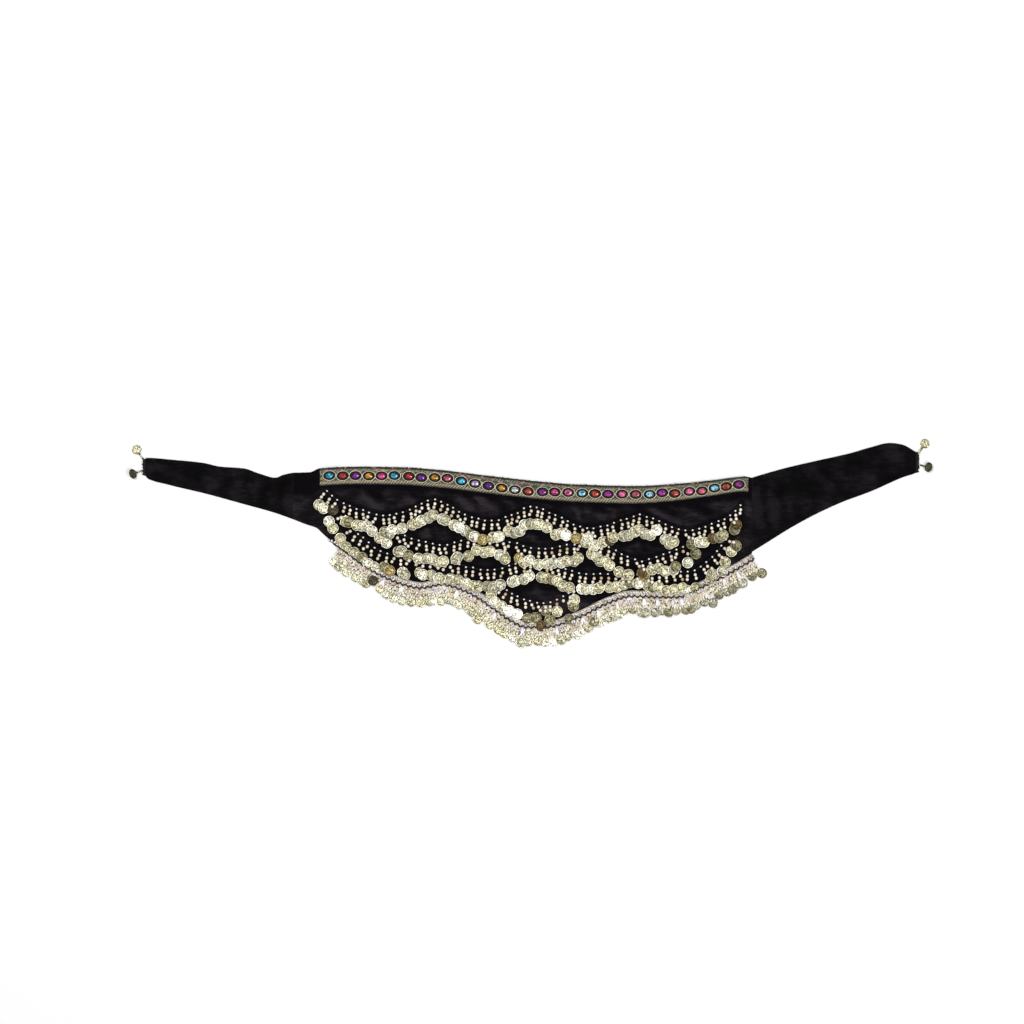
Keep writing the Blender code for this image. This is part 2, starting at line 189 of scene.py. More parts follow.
GARLAND_B = table(
    Station,
    (-272, 28, -6), (-221, 11, -5), (-161, -3, 0), (-81, 16, 3), (-31, 1, -3), (19, -9, 0), (74, -1, 3),
    (107, 5, 0), (140, -6, -8), (179, -26, -10), (200, -32, 0), (224, -25, 5), (268, -9, 8),
    (280, -1, 10),
)
GARLAND_C = table(
    Station,
    (-339, 56, -52), (-319, 24, -50), (-300, 7, -34), (-271, -15, -14), (-257, -19, -8), (-186, -27, 0),
    (-150, -33, -3), (-78, -48, 0), (-58, -46, 2), (-36, -38, 2), (12, -33, 0), (107, -56, 0),
    (125, -55, 0), (197, -55, 0), (283, -52, 8), (324, -28, 30), (340, -10, 42), (355, 12, 48),
)
GARLAND_D = table(
    Station,
    (-66, -62, -20), (-25, -97, -16), (22, -108, 0), (58, -97, 14), (81, -77, 22),
)
HEM_LINE = table(
    Station,
    (-367, 6, 0), (-345, -9, -22), (-291, -48, -30), (-233, -74, -20), (-201, -81, -4), (-160, -75, 3),
    (-121, -86, -12), (-60, -124, -28), (-44, -136, -24), (-7, -152, -6), (25, -152, 4), (90, -132, 14),
    (140, -108, 12), (181, -96, 2), (261, -98, 6), (322, -73, 20), (379, -43, 24), (404, -28, 32),
)
PANEL_FOLDS = table(
    Fold,
    (-310, 100, -262, 66, 11, 2.4), (-226, 92, -204, 74, 9, 1.6), (-132, 94, -96, 58, 11, 2.6),
    (-98, 94, -48, 58, 11, 2.2), (-46, 84, -22, 66, 9, 1.6), (18, 76, 42, 68, 8, 1.6),
    (84, 68, 94, 44, 9, 1.6), (112, 66, 142, 46, 9, 1.8), (212, 70, 274, 42, 10, 2.4),
    (284, 66, 330, 46, 10, 2.0), (-186, 32, -178, 6, 8, 1.6), (-18, 30, 22, 2, 9, 1.8),
    (196, 6, 204, -16, 8, 1.5),
)
LEFT_TIE_FOLDS = table(
    Fold,
    (-452, 116, -468, 70, 12, 3.0), (-478, 118, -500, 80, 11, 2.4), (-548, 128, -562, 92, 12, 2.0),
    (-684, 146, -610, 118, 11, 3.2), (-686, 126, -626, 108, 9, 2.2),
)
RIGHT_TIE_FOLDS = table(
    Fold,
    (412, 108, 424, 12, 11, 3.4), (440, 118, 454, 30, 12, 3.0), (508, 138, 566, 92, 12, 2.6),
    (584, 148, 634, 116, 11, 2.2), (686, 150, 622, 150, 12, 3.4), (684, 134, 640, 122, 9, 2.4),
)

# where a row's coins part, so that they hang in bunches
BUNCH_ENDS = {
    "a": (-342, -275, -242, -220, -196, -170, -150, -78, -54, 34, 94, 125, 150, 226, 273, 355),
    "b": (-210, -150, -125, -63, -33, 98, 188, 273),
    "c": (-324, -241, -215, -49, -18, 9, 76, 232, 300),
    "d": (-14, 22, 56),
}
# the coins that stand out from each row; the PALE and GLINT ones are painted highlights
ODD_COINS = {
    "a": table(
        OddCoin,
        (-349, DARK, -8, 2), (-339, PLAIN, 8, 9), (-327, OLIVE, 4, 3), (-316, PLAIN, -1, 4),
        (-125, GLINT), (-104, OLIVE), (-88, BRASS, 4), (44, PLAIN, 11), (65, GLINT, -4),
        (78, BRASS, -5, 7), (89, PLAIN, -2, 15), (101, PALE, -12), (138, UMBER), (232, GLINT, -13, -9),
        (267, PLAIN, -6, -8), (279, OLIVE, -2, 9), (292, OLIVE, 12), (316, PLAIN, -7, -6), (327, UMBER),
        (339, OLIVE, 0, 3), (360, OLIVE, 0, -2), (370, UMBER, -2, -7), (378, UMBER, 9, -23),
    ),
    "b": table(
        OddCoin,
        (-266, PLAIN, -10, -12), (-253, PALE, -9, -8), (-221, OLIVE), (-21, BRASS), (48, PALE),
        (104, PLAIN, -7, 3), (153, PLAIN, 2, -6), (164, PLAIN, 1, 4), (176, PLAIN, 2, 13),
        (188, UMBER, -3, 15), (201, BRASS, -3, 4), (214, PLAIN, -9, 4), (226, PLAIN, -11, 3),
        (239, PLAIN, 2, 3), (251, PALE, 5, 6), (263, OLIVE),
    ),
    "c": table(
        OddCoin,
        (-336, PALE, 2, -8), (-329, PLAIN, 2, -7), (-322, PLAIN, 0, -10), (-290, OLIVE),
        (-260, OLIVE, -5), (-247, BRASS, 1), (-198, PALE), (33, OLIVE), (92, GLINT), (107, PALE, -3),
        (126, PLAIN, -1, -4), (139, PLAIN, -6, 5), (152, PLAIN, -10, 7), (165, PLAIN, -10, 5),
        (179, OLIVE, -13, 6), (192, PALE, -14, 1), (205, PLAIN, -8, 12), (218, OLIVE, -9, 8),
        (231, PLAIN, -2, 3), (244, PLAIN, 2), (257, PLAIN, 4), (336, PLAIN, -4), (344, PLAIN, -11, 7),
        (351, OLIVE, -8, 6),
    ),
    "d": table(
        OddCoin,
        (-35, GLINT, 3, 5), (-24, GLINT, 4, 10), (-13, OLIVE, 8, 6), (-1, OLIVE, 5, 16),
        (11, UMBER, 12, 8), (23, OLIVE, -16, 7), (35, OLIVE, -1, 2), (47, PLAIN, -8, 1),
        (58, OLIVE, 11, -8), (68, OLIVE, -4), (77, PLAIN, -10, -8),
    ),
    "hem": table(
        OddCoin,
        (-348, PALE, 9, 6), (-336, PLAIN, 3, 2), (-273, DARK, -12, -6), (-30, PALE), (36, GLINT),
        (104, OLIVE, -4), (250, OLIVE), (283, OLIVE), (348, OLIVE, 2, 3), (388, OLIVE, 0, 3),
        (403, OLIVE, 0, 4),
    ),
}
# how bright the fringe's coins are along it
HEM_LIGHT = ((-360, 1.0), (-250, 1.15), (-60, 1.3), (60, 1.3), (130, 1.1), (210, 0.72), (420, 0.56))
# where white and lilac tassels hang among the fringe's beads
TASSELS = (-264, -232, -133, -62, -14, 46, 93, 120, 155, 204, 228, 256, 271, 346, 371)


# ------------------------------------------------------------------ curves and heights


def ease(share: Array) -> Array:
    """Eases a share at both ends.

    Args:
        share: Values of which only 0 to 1 count.

    Returns:
        The eased values, from 0 to 1.
    """
    held = np.clip(share, 0.0, 1.0)
    return held * held * (3 - 2 * held)


class Line:
    """A smooth line through the rows of a table, which never swings past them."""

    SLOPE_STEP = 0.5
    FINE = 12  # straight steps to a length, when the line is measured

    def __init__(self, rows: Sequence[Any]) -> None:
        """Keeps the table.

        Args:
            rows: Edges or stations in the order of x.
        """
        self.rows = rows
        self.xs = np.array([row.x for row in rows], float)

    def column(self, name: str, x: Array) -> Array:
        """Reads one column of the table between its rows.

        Args:
            name: The column.
            x: Where to read it.

        Returns:
            The column's smooth values.
        """
        values = np.array([getattr(row, name) for row in self.rows], float)
        steps = np.diff(values) / np.diff(self.xs)
        before, after = steps[:-1], steps[1:]
        same_way = before * after > 0
        shared = 2 * before * after / np.where(same_way, before + after, 1.0)
        slopes = np.concatenate([steps[:1], np.where(same_way, shared, 0.0), steps[-1:]])
        index = np.clip(np.searchsorted(self.xs, x, side="right") - 1, 0, len(self.xs) - 2)
        span = self.xs[index + 1] - self.xs[index]
        t = (x - self.xs[index]) / span
        start = (1 + 2 * t) * (1 - t) ** 2 * values[index] + t * (1 - t) ** 2 * span * slopes[index]
        end = t * t * (3 - 2 * t) * values[index + 1] + t * t * (t - 1) * span * slopes[index + 1]
        return start + end

    def y(self, x: Array) -> Array:
        """The line's height on the plan at x."""
        return self.column("y", np.asarray(x, float))

    def held(self, x: Array) -> Array:
        """The x values moved to within the line's ends."""
        return np.clip(x, self.xs[0], self.xs[-1])

    def spread(self, count: int) -> Array:
        """Divides the line into lengths that are equal.

        Args:
            count: How many lengths.

        Returns:
            The x of their count + 1 ends.
        """
        xs = np.linspace(self.xs[0], self.xs[-1], count * self.FINE)
        run = np.concatenate([[0.0], np.cumsum(np.hypot(np.diff(xs), np.diff(self.y(xs))))])
        return np.interp(np.linspace(0, run[-1], count + 1), run, xs)

    def middles(self, count: int) -> Array:
        """The x of the middles of equal lengths along the line.

        Args:
            count: How many lengths.

        Returns:
            The x of their middles.
        """
        ends = self.spread(count)
        return (ends[:-1] + ends[1:]) / 2

    def part(self, start: float) -> "Line":
        """The line without its start.

        Args:
            start: The x that the part starts at.

        Returns:
            The part, as a line of its own.
        """
        xs = np.concatenate([[start], self.xs[self.xs > start + 1]])
        return Line([Station(x, float(self.y(x)), float(self.column("lean", np.array(x)))) for x in xs])

    def beside(self, x: Array, distance: Array) -> tuple[Array, Array]:
        """Points square to the line.

        Args:
            x: Where on the line.
            distance: How far towards the waist.

        Returns:
            The x and the y of the points.
        """
        rise = self.y(x + self.SLOPE_STEP) - self.y(x - self.SLOPE_STEP)
        length = np.hypot(2 * self.SLOPE_STEP, rise)
        return x - rise / length * distance, self.y(x) + 2 * self.SLOPE_STEP / length * distance


def fold_heights(x: Array, y: Array, folds: Sequence[Fold]) -> Array:
    """How far the cloth stands off the surface, with each fold tapered at its ends.

    Args:
        x: The points' x.
        y: The points' y.
        folds: The folds that the cloth has.

    Returns:
        The heights, 0 where the cloth is flat.
    """
    highest = np.zeros_like(x)
    for fold in folds:
        along, across = fold.shares(x, y)
        crest = np.cos(math.pi / 2 * np.clip(np.abs(across), 0, 1)) ** 2
        highest = np.maximum(highest, fold.height * crest * ease(3 * along) * ease(3 * (1 - along)))
    return highest


def fold_painted_shading(x: Array, y: Array, folds: Sequence[Fold]) -> Array:
    """Painted light and shade beside the folds: painted light on the side towards the window, painted shade
    in the hollow behind.

    Args:
        x: The points' x.
        y: The points' y.
        folds: The folds that the cloth has.

    Returns:
        From -1, dark, to 1, light, and 0 where the cloth is flat.
    """
    wide = 1.4  # how much wider than the fold the light and the dark reach
    full = 2.4  # the height of a fold that shows at full strength
    nap = np.zeros_like(x)
    for fold in folds:
        along, across = fold.shares(x, y)
        side = np.where(np.abs(across) < wide, np.sin(math.pi * across / wide), 0.0)
        nap += side * ease(2.5 * (along + 0.1)) * ease(2.5 * (1.1 - along)) * fold.height / full
    return np.clip(nap, -1, 1)


def hanging(lean: float) -> tuple[Array, Array]:
    """The way that a strand hangs on the plan.

    Args:
        lean: Degrees from straight down, towards +X.

    Returns:
        The way down along the strand, and the way across it.
    """
    s, c = math.sin(math.radians(lean)), math.cos(math.radians(lean))
    return np.array([s, -c, 0.0]), np.array([c, s, 0.0])


def turned(angle: float) -> Array:
    """The axes of a copy that is turned on the plan.

    Args:
        angle: Degrees from +X towards +Y.

    Returns:
        The three axes as rows.
    """
    c, s = math.cos(math.radians(angle)), math.sin(math.radians(angle))
    return np.array([[c, s, 0.0], [-s, c, 0.0], [0.0, 0.0, 1.0]])


# ------------------------------------------------------------------ Blender helpers


def linear(colour: str) -> Tint:
    """Turns an sRGB hex colour into Blender's linear one.

    Args:
        colour: Six hex digits.

    Returns:
        Red, green, blue and alpha.
    """
    parts = [int(colour[i : i + 2], 16) / 255 for i in (0, 2, 4)]
    red, green, blue = (p / 12.92 if p <= 0.04045 else ((p + 0.055) / 1.055) ** 2.4 for p in parts)
    return red, green, blue, 1.0


def scaled(colour: str, strength: float) -> Tint:
    """A linear colour made stronger or weaker.

    Args:
        colour: Six hex digits.
        strength: What it is multiplied by.

    Returns:
        Red, green, blue and alpha.
    """
    red, green, blue, alpha = linear(colour)
    return red * strength, green * strength, blue * strength, alpha


def set_node(node: Any, settings: dict) -> None:
    """Gives a node its settings and links.

    Args:
        node: The node.
        settings: Its inputs by name or number, and its properties by name. A socket is linked to the input,
            and so is a node's first output. The key stops gives a ramp's places and colours.
    """
    for name, value in settings.items():
        value = value.outputs[0] if isinstance(value, bpy.types.Node) else value
        if name == "stops":
            elements = node.color_ramp.elements
            elements[0].position, elements[1].position = value[0][0], value[-1][0]
            for place, _ in value[1:-1]:
                elements.new(place)
            for element, (_, colour) in zip(elements, value):
                element.color = colour
        elif isinstance(value, bpy.types.NodeSocket):
            node.id_data.links.new(value, node.inputs[name])
        elif isinstance(name, int) or name in node.inputs:
            node.inputs[name].default_value = value
        else:
            setattr(node, name, value)


def add_node(tree: Any, kind: str, settings: dict | None = None) -> Any:
    """Adds a node with its settings and links.

    Args:
        tree: The node tree.
        kind: Blender's name of the node type, after "ShaderNode".
        settings: What set_node takes.

    Returns:
        The node.
    """
    node = tree.nodes.new("ShaderNode" + kind)
    set_node(node, settings or {})
    return node


def deselect() -> None:
    """Leaves nothing selected, so that the next operator acts on its own object alone."""
    if bpy.context.mode != "OBJECT":
        bpy.ops.object.mode_set(mode="OBJECT")
    bpy.ops.object.select_all(action="DESELECT")


def pick(obj: Any) -> None:
    """Selects one object alone and makes it the active one.

    Args:
        obj: The object.
    """
    deselect()
    obj.select_set(True)
    bpy.context.view_layer.objects.active = obj


def linked(name: str, data: Any) -> Any:
    """Puts data into the scene as an object.

    Args:
        name: The object's name.
        data: Its mesh, curve, light or camera.

    Returns:
        The object.
    """
    obj = bpy.data.objects.new(name, data)
    bpy.context.scene.collection.objects.link(obj)
    return obj


def coordinates(obj: Any) -> Array:
    """Reads the points of an object's mesh.

    Args:
        obj: The object.

    Returns:
        The points in metres, one row each.
    """
    flat = np.empty(len(obj.data.vertices) * 3)
    obj.data.vertices.foreach_get("co", flat)
    return flat.reshape(-1, 3)


def give(obj: Any, name: str, kind: str, values: Any) -> None:
    """Stores an attribute at each point of an object's mesh.

    Args:
        obj: The object.
        name: The attribute's name.
        kind: What it holds: FLOAT, FLOAT_VECTOR or FLOAT_COLOR.
        values: A value or a row for each point.
    """
    stored = obj.data.attributes.new(name, kind, "POINT")
    key = {"FLOAT": "value", "FLOAT_VECTOR": "vector", "FLOAT_COLOR": "color"}[kind]
    stored.data.foreach_set(key, np.asarray(values, np.float32).ravel())


@dataclass
class Shape:
    """A small shape that is modelled once, in millimetres, and stamped many times."""

    points: Array
    faces: list[list[int]]

    @classmethod
    def taken_from(cls, obj: Any) -> "Shape":
        """Reads the shape of an object and removes the object.

        Args:
            obj: A mesh object that was modelled at the origin, in millimetres.

        Returns:
            The shape.
        """
        bpy.ops.object.mode_set(mode="OBJECT")
        points = np.array([vert.co[:] for vert in obj.data.vertices])
        faces = [list(face.vertices) for face in obj.data.polygons]
        bpy.data.objects.remove(obj, do_unlink=True)
        return cls(points, faces)


@dataclass
class Place:
    """Where one copy of a shape goes: its middle, its axes as rows, a number of its own and its tint."""

    middle: Array
    axes: Array
    seed: float = 0.0
    tint: Tint = (1.0, 1.0, 1.0, 1.0)


def stamp(name: str, shape: Shape, places: Sequence[Place], smooth: bool = True) -> Any:
    """Makes one mesh of many copies of a shape, each with its own number and tint as attributes.

    The attribute local_mm holds the points of the shape as if it were 20 mm long.

    Args:
        name: The object's name.
        shape: The shape to copy.
        places: Where the copies go.
        smooth: Whether the faces are shaded smooth.

    Returns:
        The object, with its place in its mesh.
    """
    count = len(shape.points)
    points = np.concatenate([shape.points @ place.axes + place.middle for place in places])
    faces = [[index + copy * count for index in face] for copy in range(len(places)) for face in shape.faces]
    mesh = bpy.data.meshes.new(name)
    mesh.from_pydata((points * MM).tolist(), [], faces)
    mesh.polygons.foreach_set("use_smooth", [smooth] * len(mesh.polygons))
    obj = linked(name, mesh)
    unit = shape.points * (10 / np.abs(shape.points[:, 0]).max())
    give(obj, "local_mm", "FLOAT_VECTOR", np.tile(unit, (len(places), 1)))
    give(obj, "seed", "FLOAT", np.repeat([place.seed for place in places], count))
    tints = np.array([place.tint for place in places], np.float32)
    give(obj, "tint", "FLOAT_COLOR", np.repeat(tints, count, axis=0))
    return obj


def tubes(name: str, paths: Sequence[Array], radius: float, sides: int = 1) -> Any:
    """Makes round threads along paths.

    Args:
        name: The object's name.
        paths: The points of each thread, in millimetres.
        radius: The thread's radius, in millimetres.
        sides: The bevel resolution of the curve.

    Returns:
        The threads as one mesh object.
    """
    curve = bpy.data.curves.new(name, "CURVE")
    curve.dimensions = "3D"
    curve.bevel_depth = radius * MM
    curve.bevel_resolution = sides
    curve.use_fill_caps = True
    for path in paths:
        spline = curve.splines.new("POLY")
        spline.points.add(len(path) - 1)
        spline.points.foreach_set("co", np.column_stack([path * MM, np.ones(len(path))]).ravel())
    pick(linked(name + "_guide", curve))
    bpy.ops.object.convert(target="MESH")
    made = bpy.context.view_layer.objects.active
    made.name = name
    bm = bmesh.new()
    bm.from_mesh(made.data)
    bmesh.ops.remove_doubles(bm, verts=bm.verts, dist=1e-6)
    bmesh.ops.recalc_face_normals(bm, faces=bm.faces)
    bm.to_mesh(made.data)
    bm.free()
    made.data.shade_smooth()
    return made


def sheet_grid(name: str, cells: tuple[int, int], place: Callable[[Array, Array], Array]) -> Any:
    """Makes a grid and moves each of its points.

    Args:
        name: The object's name.
        cells: How many cells it has along u and v.
        place: Gives the points, in millimetres, of arrays of u and v from 0 to 1.

    Returns:
        The object.
    """
    deselect()
    bpy.ops.mesh.primitive_grid_add(x_subdivisions=cells[0], y_subdivisions=cells[1], size=1.0)
    obj = bpy.context.active_object
    obj.name = obj.data.name = name
    u, v, _ = (coordinates(obj) + 0.5).T
    obj.data.vertices.foreach_set("co", (place(u, v) * MM).ravel())
    obj.data.update()
    return obj


def thicken(obj: Any, thickness: float, rounding: float) -> None:
    """Turns an open sheet into cloth: thickness upwards, and rounded edges.

    Args:
        obj: The sheet.
        thickness: In millimetres.
        rounding: The radius of its edges, in millimetres.
    """
    wall = obj.modifiers.new("wall", "SOLIDIFY")
    wall.thickness = thickness * MM
    wall.offset = 1.0
    soft = obj.modifiers.new("soft_edge", "BEVEL")
    soft.width = rounding * MM
    soft.segments = 2
    soft.limit_method = "ANGLE"
    soft.angle_limit = math.radians(50)
    pick(obj)
    for name in ("wall", "soft_edge"):
        bpy.ops.object.modifier_apply(modifier=name)
    obj.data.shade_smooth()


def dress(obj: Any, material: Any, slot: str, *nodes: str) -> Any:
    """Gives a piece its material and body, and hides the solids that it stands for.

    Args:
        obj: The piece.
        material: Its material.
        slot: Not used.
        nodes: The CAD nodes that it replaces.

    Returns:
        The piece.
    """
    obj.data.materials.clear()
    obj.data.materials.append(material)
    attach(obj, BODY)
    if nodes:
        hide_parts(*nodes)
    LOG.info("%s: %d faces", obj.name, len(obj.data.polygons))
    return obj


def strew(name: str, shape: Shape, places: Sequence[Place], material: Any, slot: str, *nodes: str) -> Any:
    """Makes one dressed piece of many copies of a shape. Coins keep their sharp edges.

    Args:
        name: The piece's name, which ends in coins for coins.
        shape: The shape to copy.
        places: Where the copies go.
        material: Its material.
        slot: Passed on to dress.
        nodes: The CAD nodes that it replaces.

    Returns:
        The piece.
    """
    coins = name.endswith("coins")
    piece = dress(stamp(name, shape, places, not coins), material, slot, *nodes)
    if coins:
        pick(piece)
        bpy.ops.object.shade_smooth_by_angle(angle=math.radians(35))
    return piece


# ------------------------------------------------------------------ the heap


class Heap:
    """The coins and beads that hang loose. Where one of them crosses a coin, the upper one is lifted, by no
    more than MOST.
    """

    ROUNDS = 40  # of lifting, so that a pile settles from its foot up
    MOST = 5.0  # nothing is lifted further than this
    CLEAR = 0.02  # the room left between two things
    THIN = 8  # what is this many times wider than thick is a coin
    COIN_GRID, BEAD_GRID = 17, 9  # points each way at which two things are compared

    def __init__(self) -> None:
        """Starts with nothing in it."""
        self.places: list[Place] = []
        self.halves: list[Array] = []

    def add(self, shape: Shape, places: Sequence[Place]) -> None:
        """Puts copies of a shape into the heap.

        Args:
            shape: The shape.
            places: Where its copies are.
        """
        self.places += places
        self.halves += [np.abs(shape.points).max(axis=0)] * len(places)

    def flat(self, index: int) -> bool:
        """Whether a thing is a coin."""
        return bool(self.halves[index][2] * self.THIN < self.halves[index][0])

    def skin(self, index: int, points: Array) -> tuple[Array, Array]:
        """The underside and the top of a thing above points of the floor, not a number beside it.

        Args:
            index: The thing.
            points: The points, two columns.

        Returns:
            The heights of its underside, and of its top.
        """
        place, half = self.places[index], self.halves[index]
        offset = points - place.middle[:2]
        if self.flat(index):
            normal = place.axes[2] / np.linalg.norm(place.axes[2])
            rise = -(offset @ normal[:2]) / normal[2]
            rise[np.hypot(np.linalg.norm(offset, axis=1), rise) > half[0]] = np.nan
            thick = half[2] / normal[2]
            return place.middle[2] + rise - thick, place.middle[2] + rise + thick
        axes = place.axes / half[:, None]
        a = float(np.sum(axes[:, 2] ** 2))
        b = offset @ (axes[:, :2].T @ axes[:, 2])
        c = np.sum((offset @ axes[:, :2].T) ** 2, axis=1) - 1
        inside = b * b - a * c
        root = np.sqrt(np.where(inside > 0, inside, np.nan))
        return place.middle[2] + (-b - root) / a, place.middle[2] + (-b + root) / a

    def contact(self, one: int, other: int) -> tuple[int, int, float] | None:
        """Compares two things, where one covers the other on the plan.

        Args:
            one: A thing.
            other: Another.

        Returns:
            The upper one, the lower one, and the room between them, or nothing where they lie apart.
        """
        small = min(one, other, key=lambda index: float(self.halves[index][:2].max()))
        reach = float(self.halves[small][:2].max())
        steps = np.linspace(-reach, reach, self.COIN_GRID if self.flat(small) else self.BEAD_GRID)
        points = np.array([(x, y) for x in steps for y in steps]) + self.places[small].middle[:2]
        foot, top = self.skin(one, points)
        other_foot, other_top = self.skin(other, points)
        both = np.isfinite(foot) & np.isfinite(other_foot)
        if not both.any():
            return None
        if np.mean((top - other_top)[both]) > 0:
            return one, other, float((foot - other_top)[both].min())
        return other, one, float((other_foot - top)[both].min())

    def settle(self) -> None:
        """Lifts the things until none crosses a coin."""
        middles = np.array([place.middle[:2] for place in self.places])
        reaches = np.array([half[:2].max() for half in self.halves])
        pairs = set()
        for coin in filter(self.flat, range(len(self.places))):
            apart = np.linalg.norm(middles - middles[coin], axis=1)
            near = map(int, np.flatnonzero(apart < reaches + reaches[coin]))
            pairs |= {(min(coin, other), max(coin, other)) for other in near if other != coin}
        contacts = [found for found in (self.contact(*pair) for pair in sorted(pairs)) if found]
        lifts = np.zeros(len(self.places))
        for _ in range(self.ROUNDS):
            for upper, lower, room in contacts:
                short = self.CLEAR - room - lifts[upper] + lifts[lower]
                if short > 0:
                    lifts[upper] = min(lifts[upper] + short, self.MOST)
        for place, lift in zip(self.places, lifts):
            place.middle[2] += lift
        LOG.info("heap: %d things, %d lifted, at most %.1f mm", len(lifts), np.sum(lifts > 0), lifts.max())


# ------------------------------------------------------------------ finishes


@dataclass(frozen=True)
class Finish:
    """What every finish has: its material's name, and what goes into the Principled shader."""

    name: str

    def settings(self, tree: Any) -> dict:
        """Adds the finish's own nodes.

        Args:
            tree: The material's node tree.

        Returns:
            The shader's settings, as set_node takes them.
        """
        raise NotImplementedError

    def make(self) -> Any:
        """Builds the material.

        Returns:
            The material.
        """
        made = bpy.data.materials.new(self.name)
        made.use_nodes = True
        set_node(made.node_tree.nodes["Principled BSDF"], self.settings(made.node_tree))
        return made


@dataclass(frozen=True)
class Velvet(Finish):
    """Polyester pile velvet, black: it swallows light, and its sheen is painted as soft grey patches and
    strokes.

    Its own attribute holds painted light and shade: lighter beside folds and seams, darker in fold hollows
    and under what is sewn on.
    """

    # from darkest to lightest; the lightest is reached by the painted sheen and the painted light beside
    # folds
    deep: str = "070507"
    middle: str = "141114"
    lightest: str = "2B262B"
    patch_mm: float = 42.0
    stroke_mm: float = 9.0
    pile_mm: float = 1.3  # the pile is finer, 0.3 mm, and is drawn as coarse as it needs to show
    nap: float = 0.19
    sheen: float = 0.05

    def settings(self, tree: Any) -> dict:
        """Adds the painted sheen as patches and brushed strokes, the painted light and shade of the
        attribute, and the pile.

        Args:
            tree: The material's node tree.

        Returns:
            The shader's settings.
        """
        spot = add_node(tree, "TexCoord").outputs["Object"]
        # the attribute holds painted light and shade: lighter beside folds and seams, darker in fold hollows
        # and under sewn pieces
        lean = add_node(tree, "Attribute", {"attribute_name": "nap"}).outputs["Fac"]
        patch, stroke, fine = (1 / (size * MM) for size in (self.patch_mm, self.stroke_mm, self.pile_mm))
        soft = {"Vector": spot, "Scale": patch, "Detail": 4.0, "Roughness": 0.6}
        patches = add_node(tree, "TexNoise", soft)
        slant = {"Vector": spot, "Rotation": (0.0, 0.0, math.radians(28)), "Scale": (0.45, 2.0, 1.0)}
        slanted = add_node(tree, "Mapping", slant)
        brushed = {"Vector": slanted, "Scale": stroke, "Detail": 5.0, "Roughness": 0.7}
        strokes = add_node(tree, "TexNoise", brushed)
        both = add_node(tree, "Math", {"operation": "MULTIPLY_ADD", 0: strokes, 1: 0.6, 2: patches})
        lit = add_node(tree, "Math", {"operation": "MULTIPLY_ADD", 0: lean, 1: self.nap, 2: both})
        tones = zip((0.6, 0.8, 1.0), map(linear, (self.deep, self.middle, self.lightest)))
        pile = add_node(tree, "TexNoise", {"Vector": spot, "Scale": fine, "Detail": 2.0})
        return {
            "Base Color": add_node(tree, "ValToRGB", {"Fac": lit, "stops": tuple(tones)}),
            "Normal": add_node(tree, "Bump", {"Height": pile, "Strength": 0.5, "Distance": 0.0004}),
            "Roughness": 0.9,
            "Specular IOR Level": 0.06,
            "Sheen Weight": self.sheen,
            "Sheen Roughness": 0.45,
            "Sheen Tint": linear("B8B0C0"),
        }


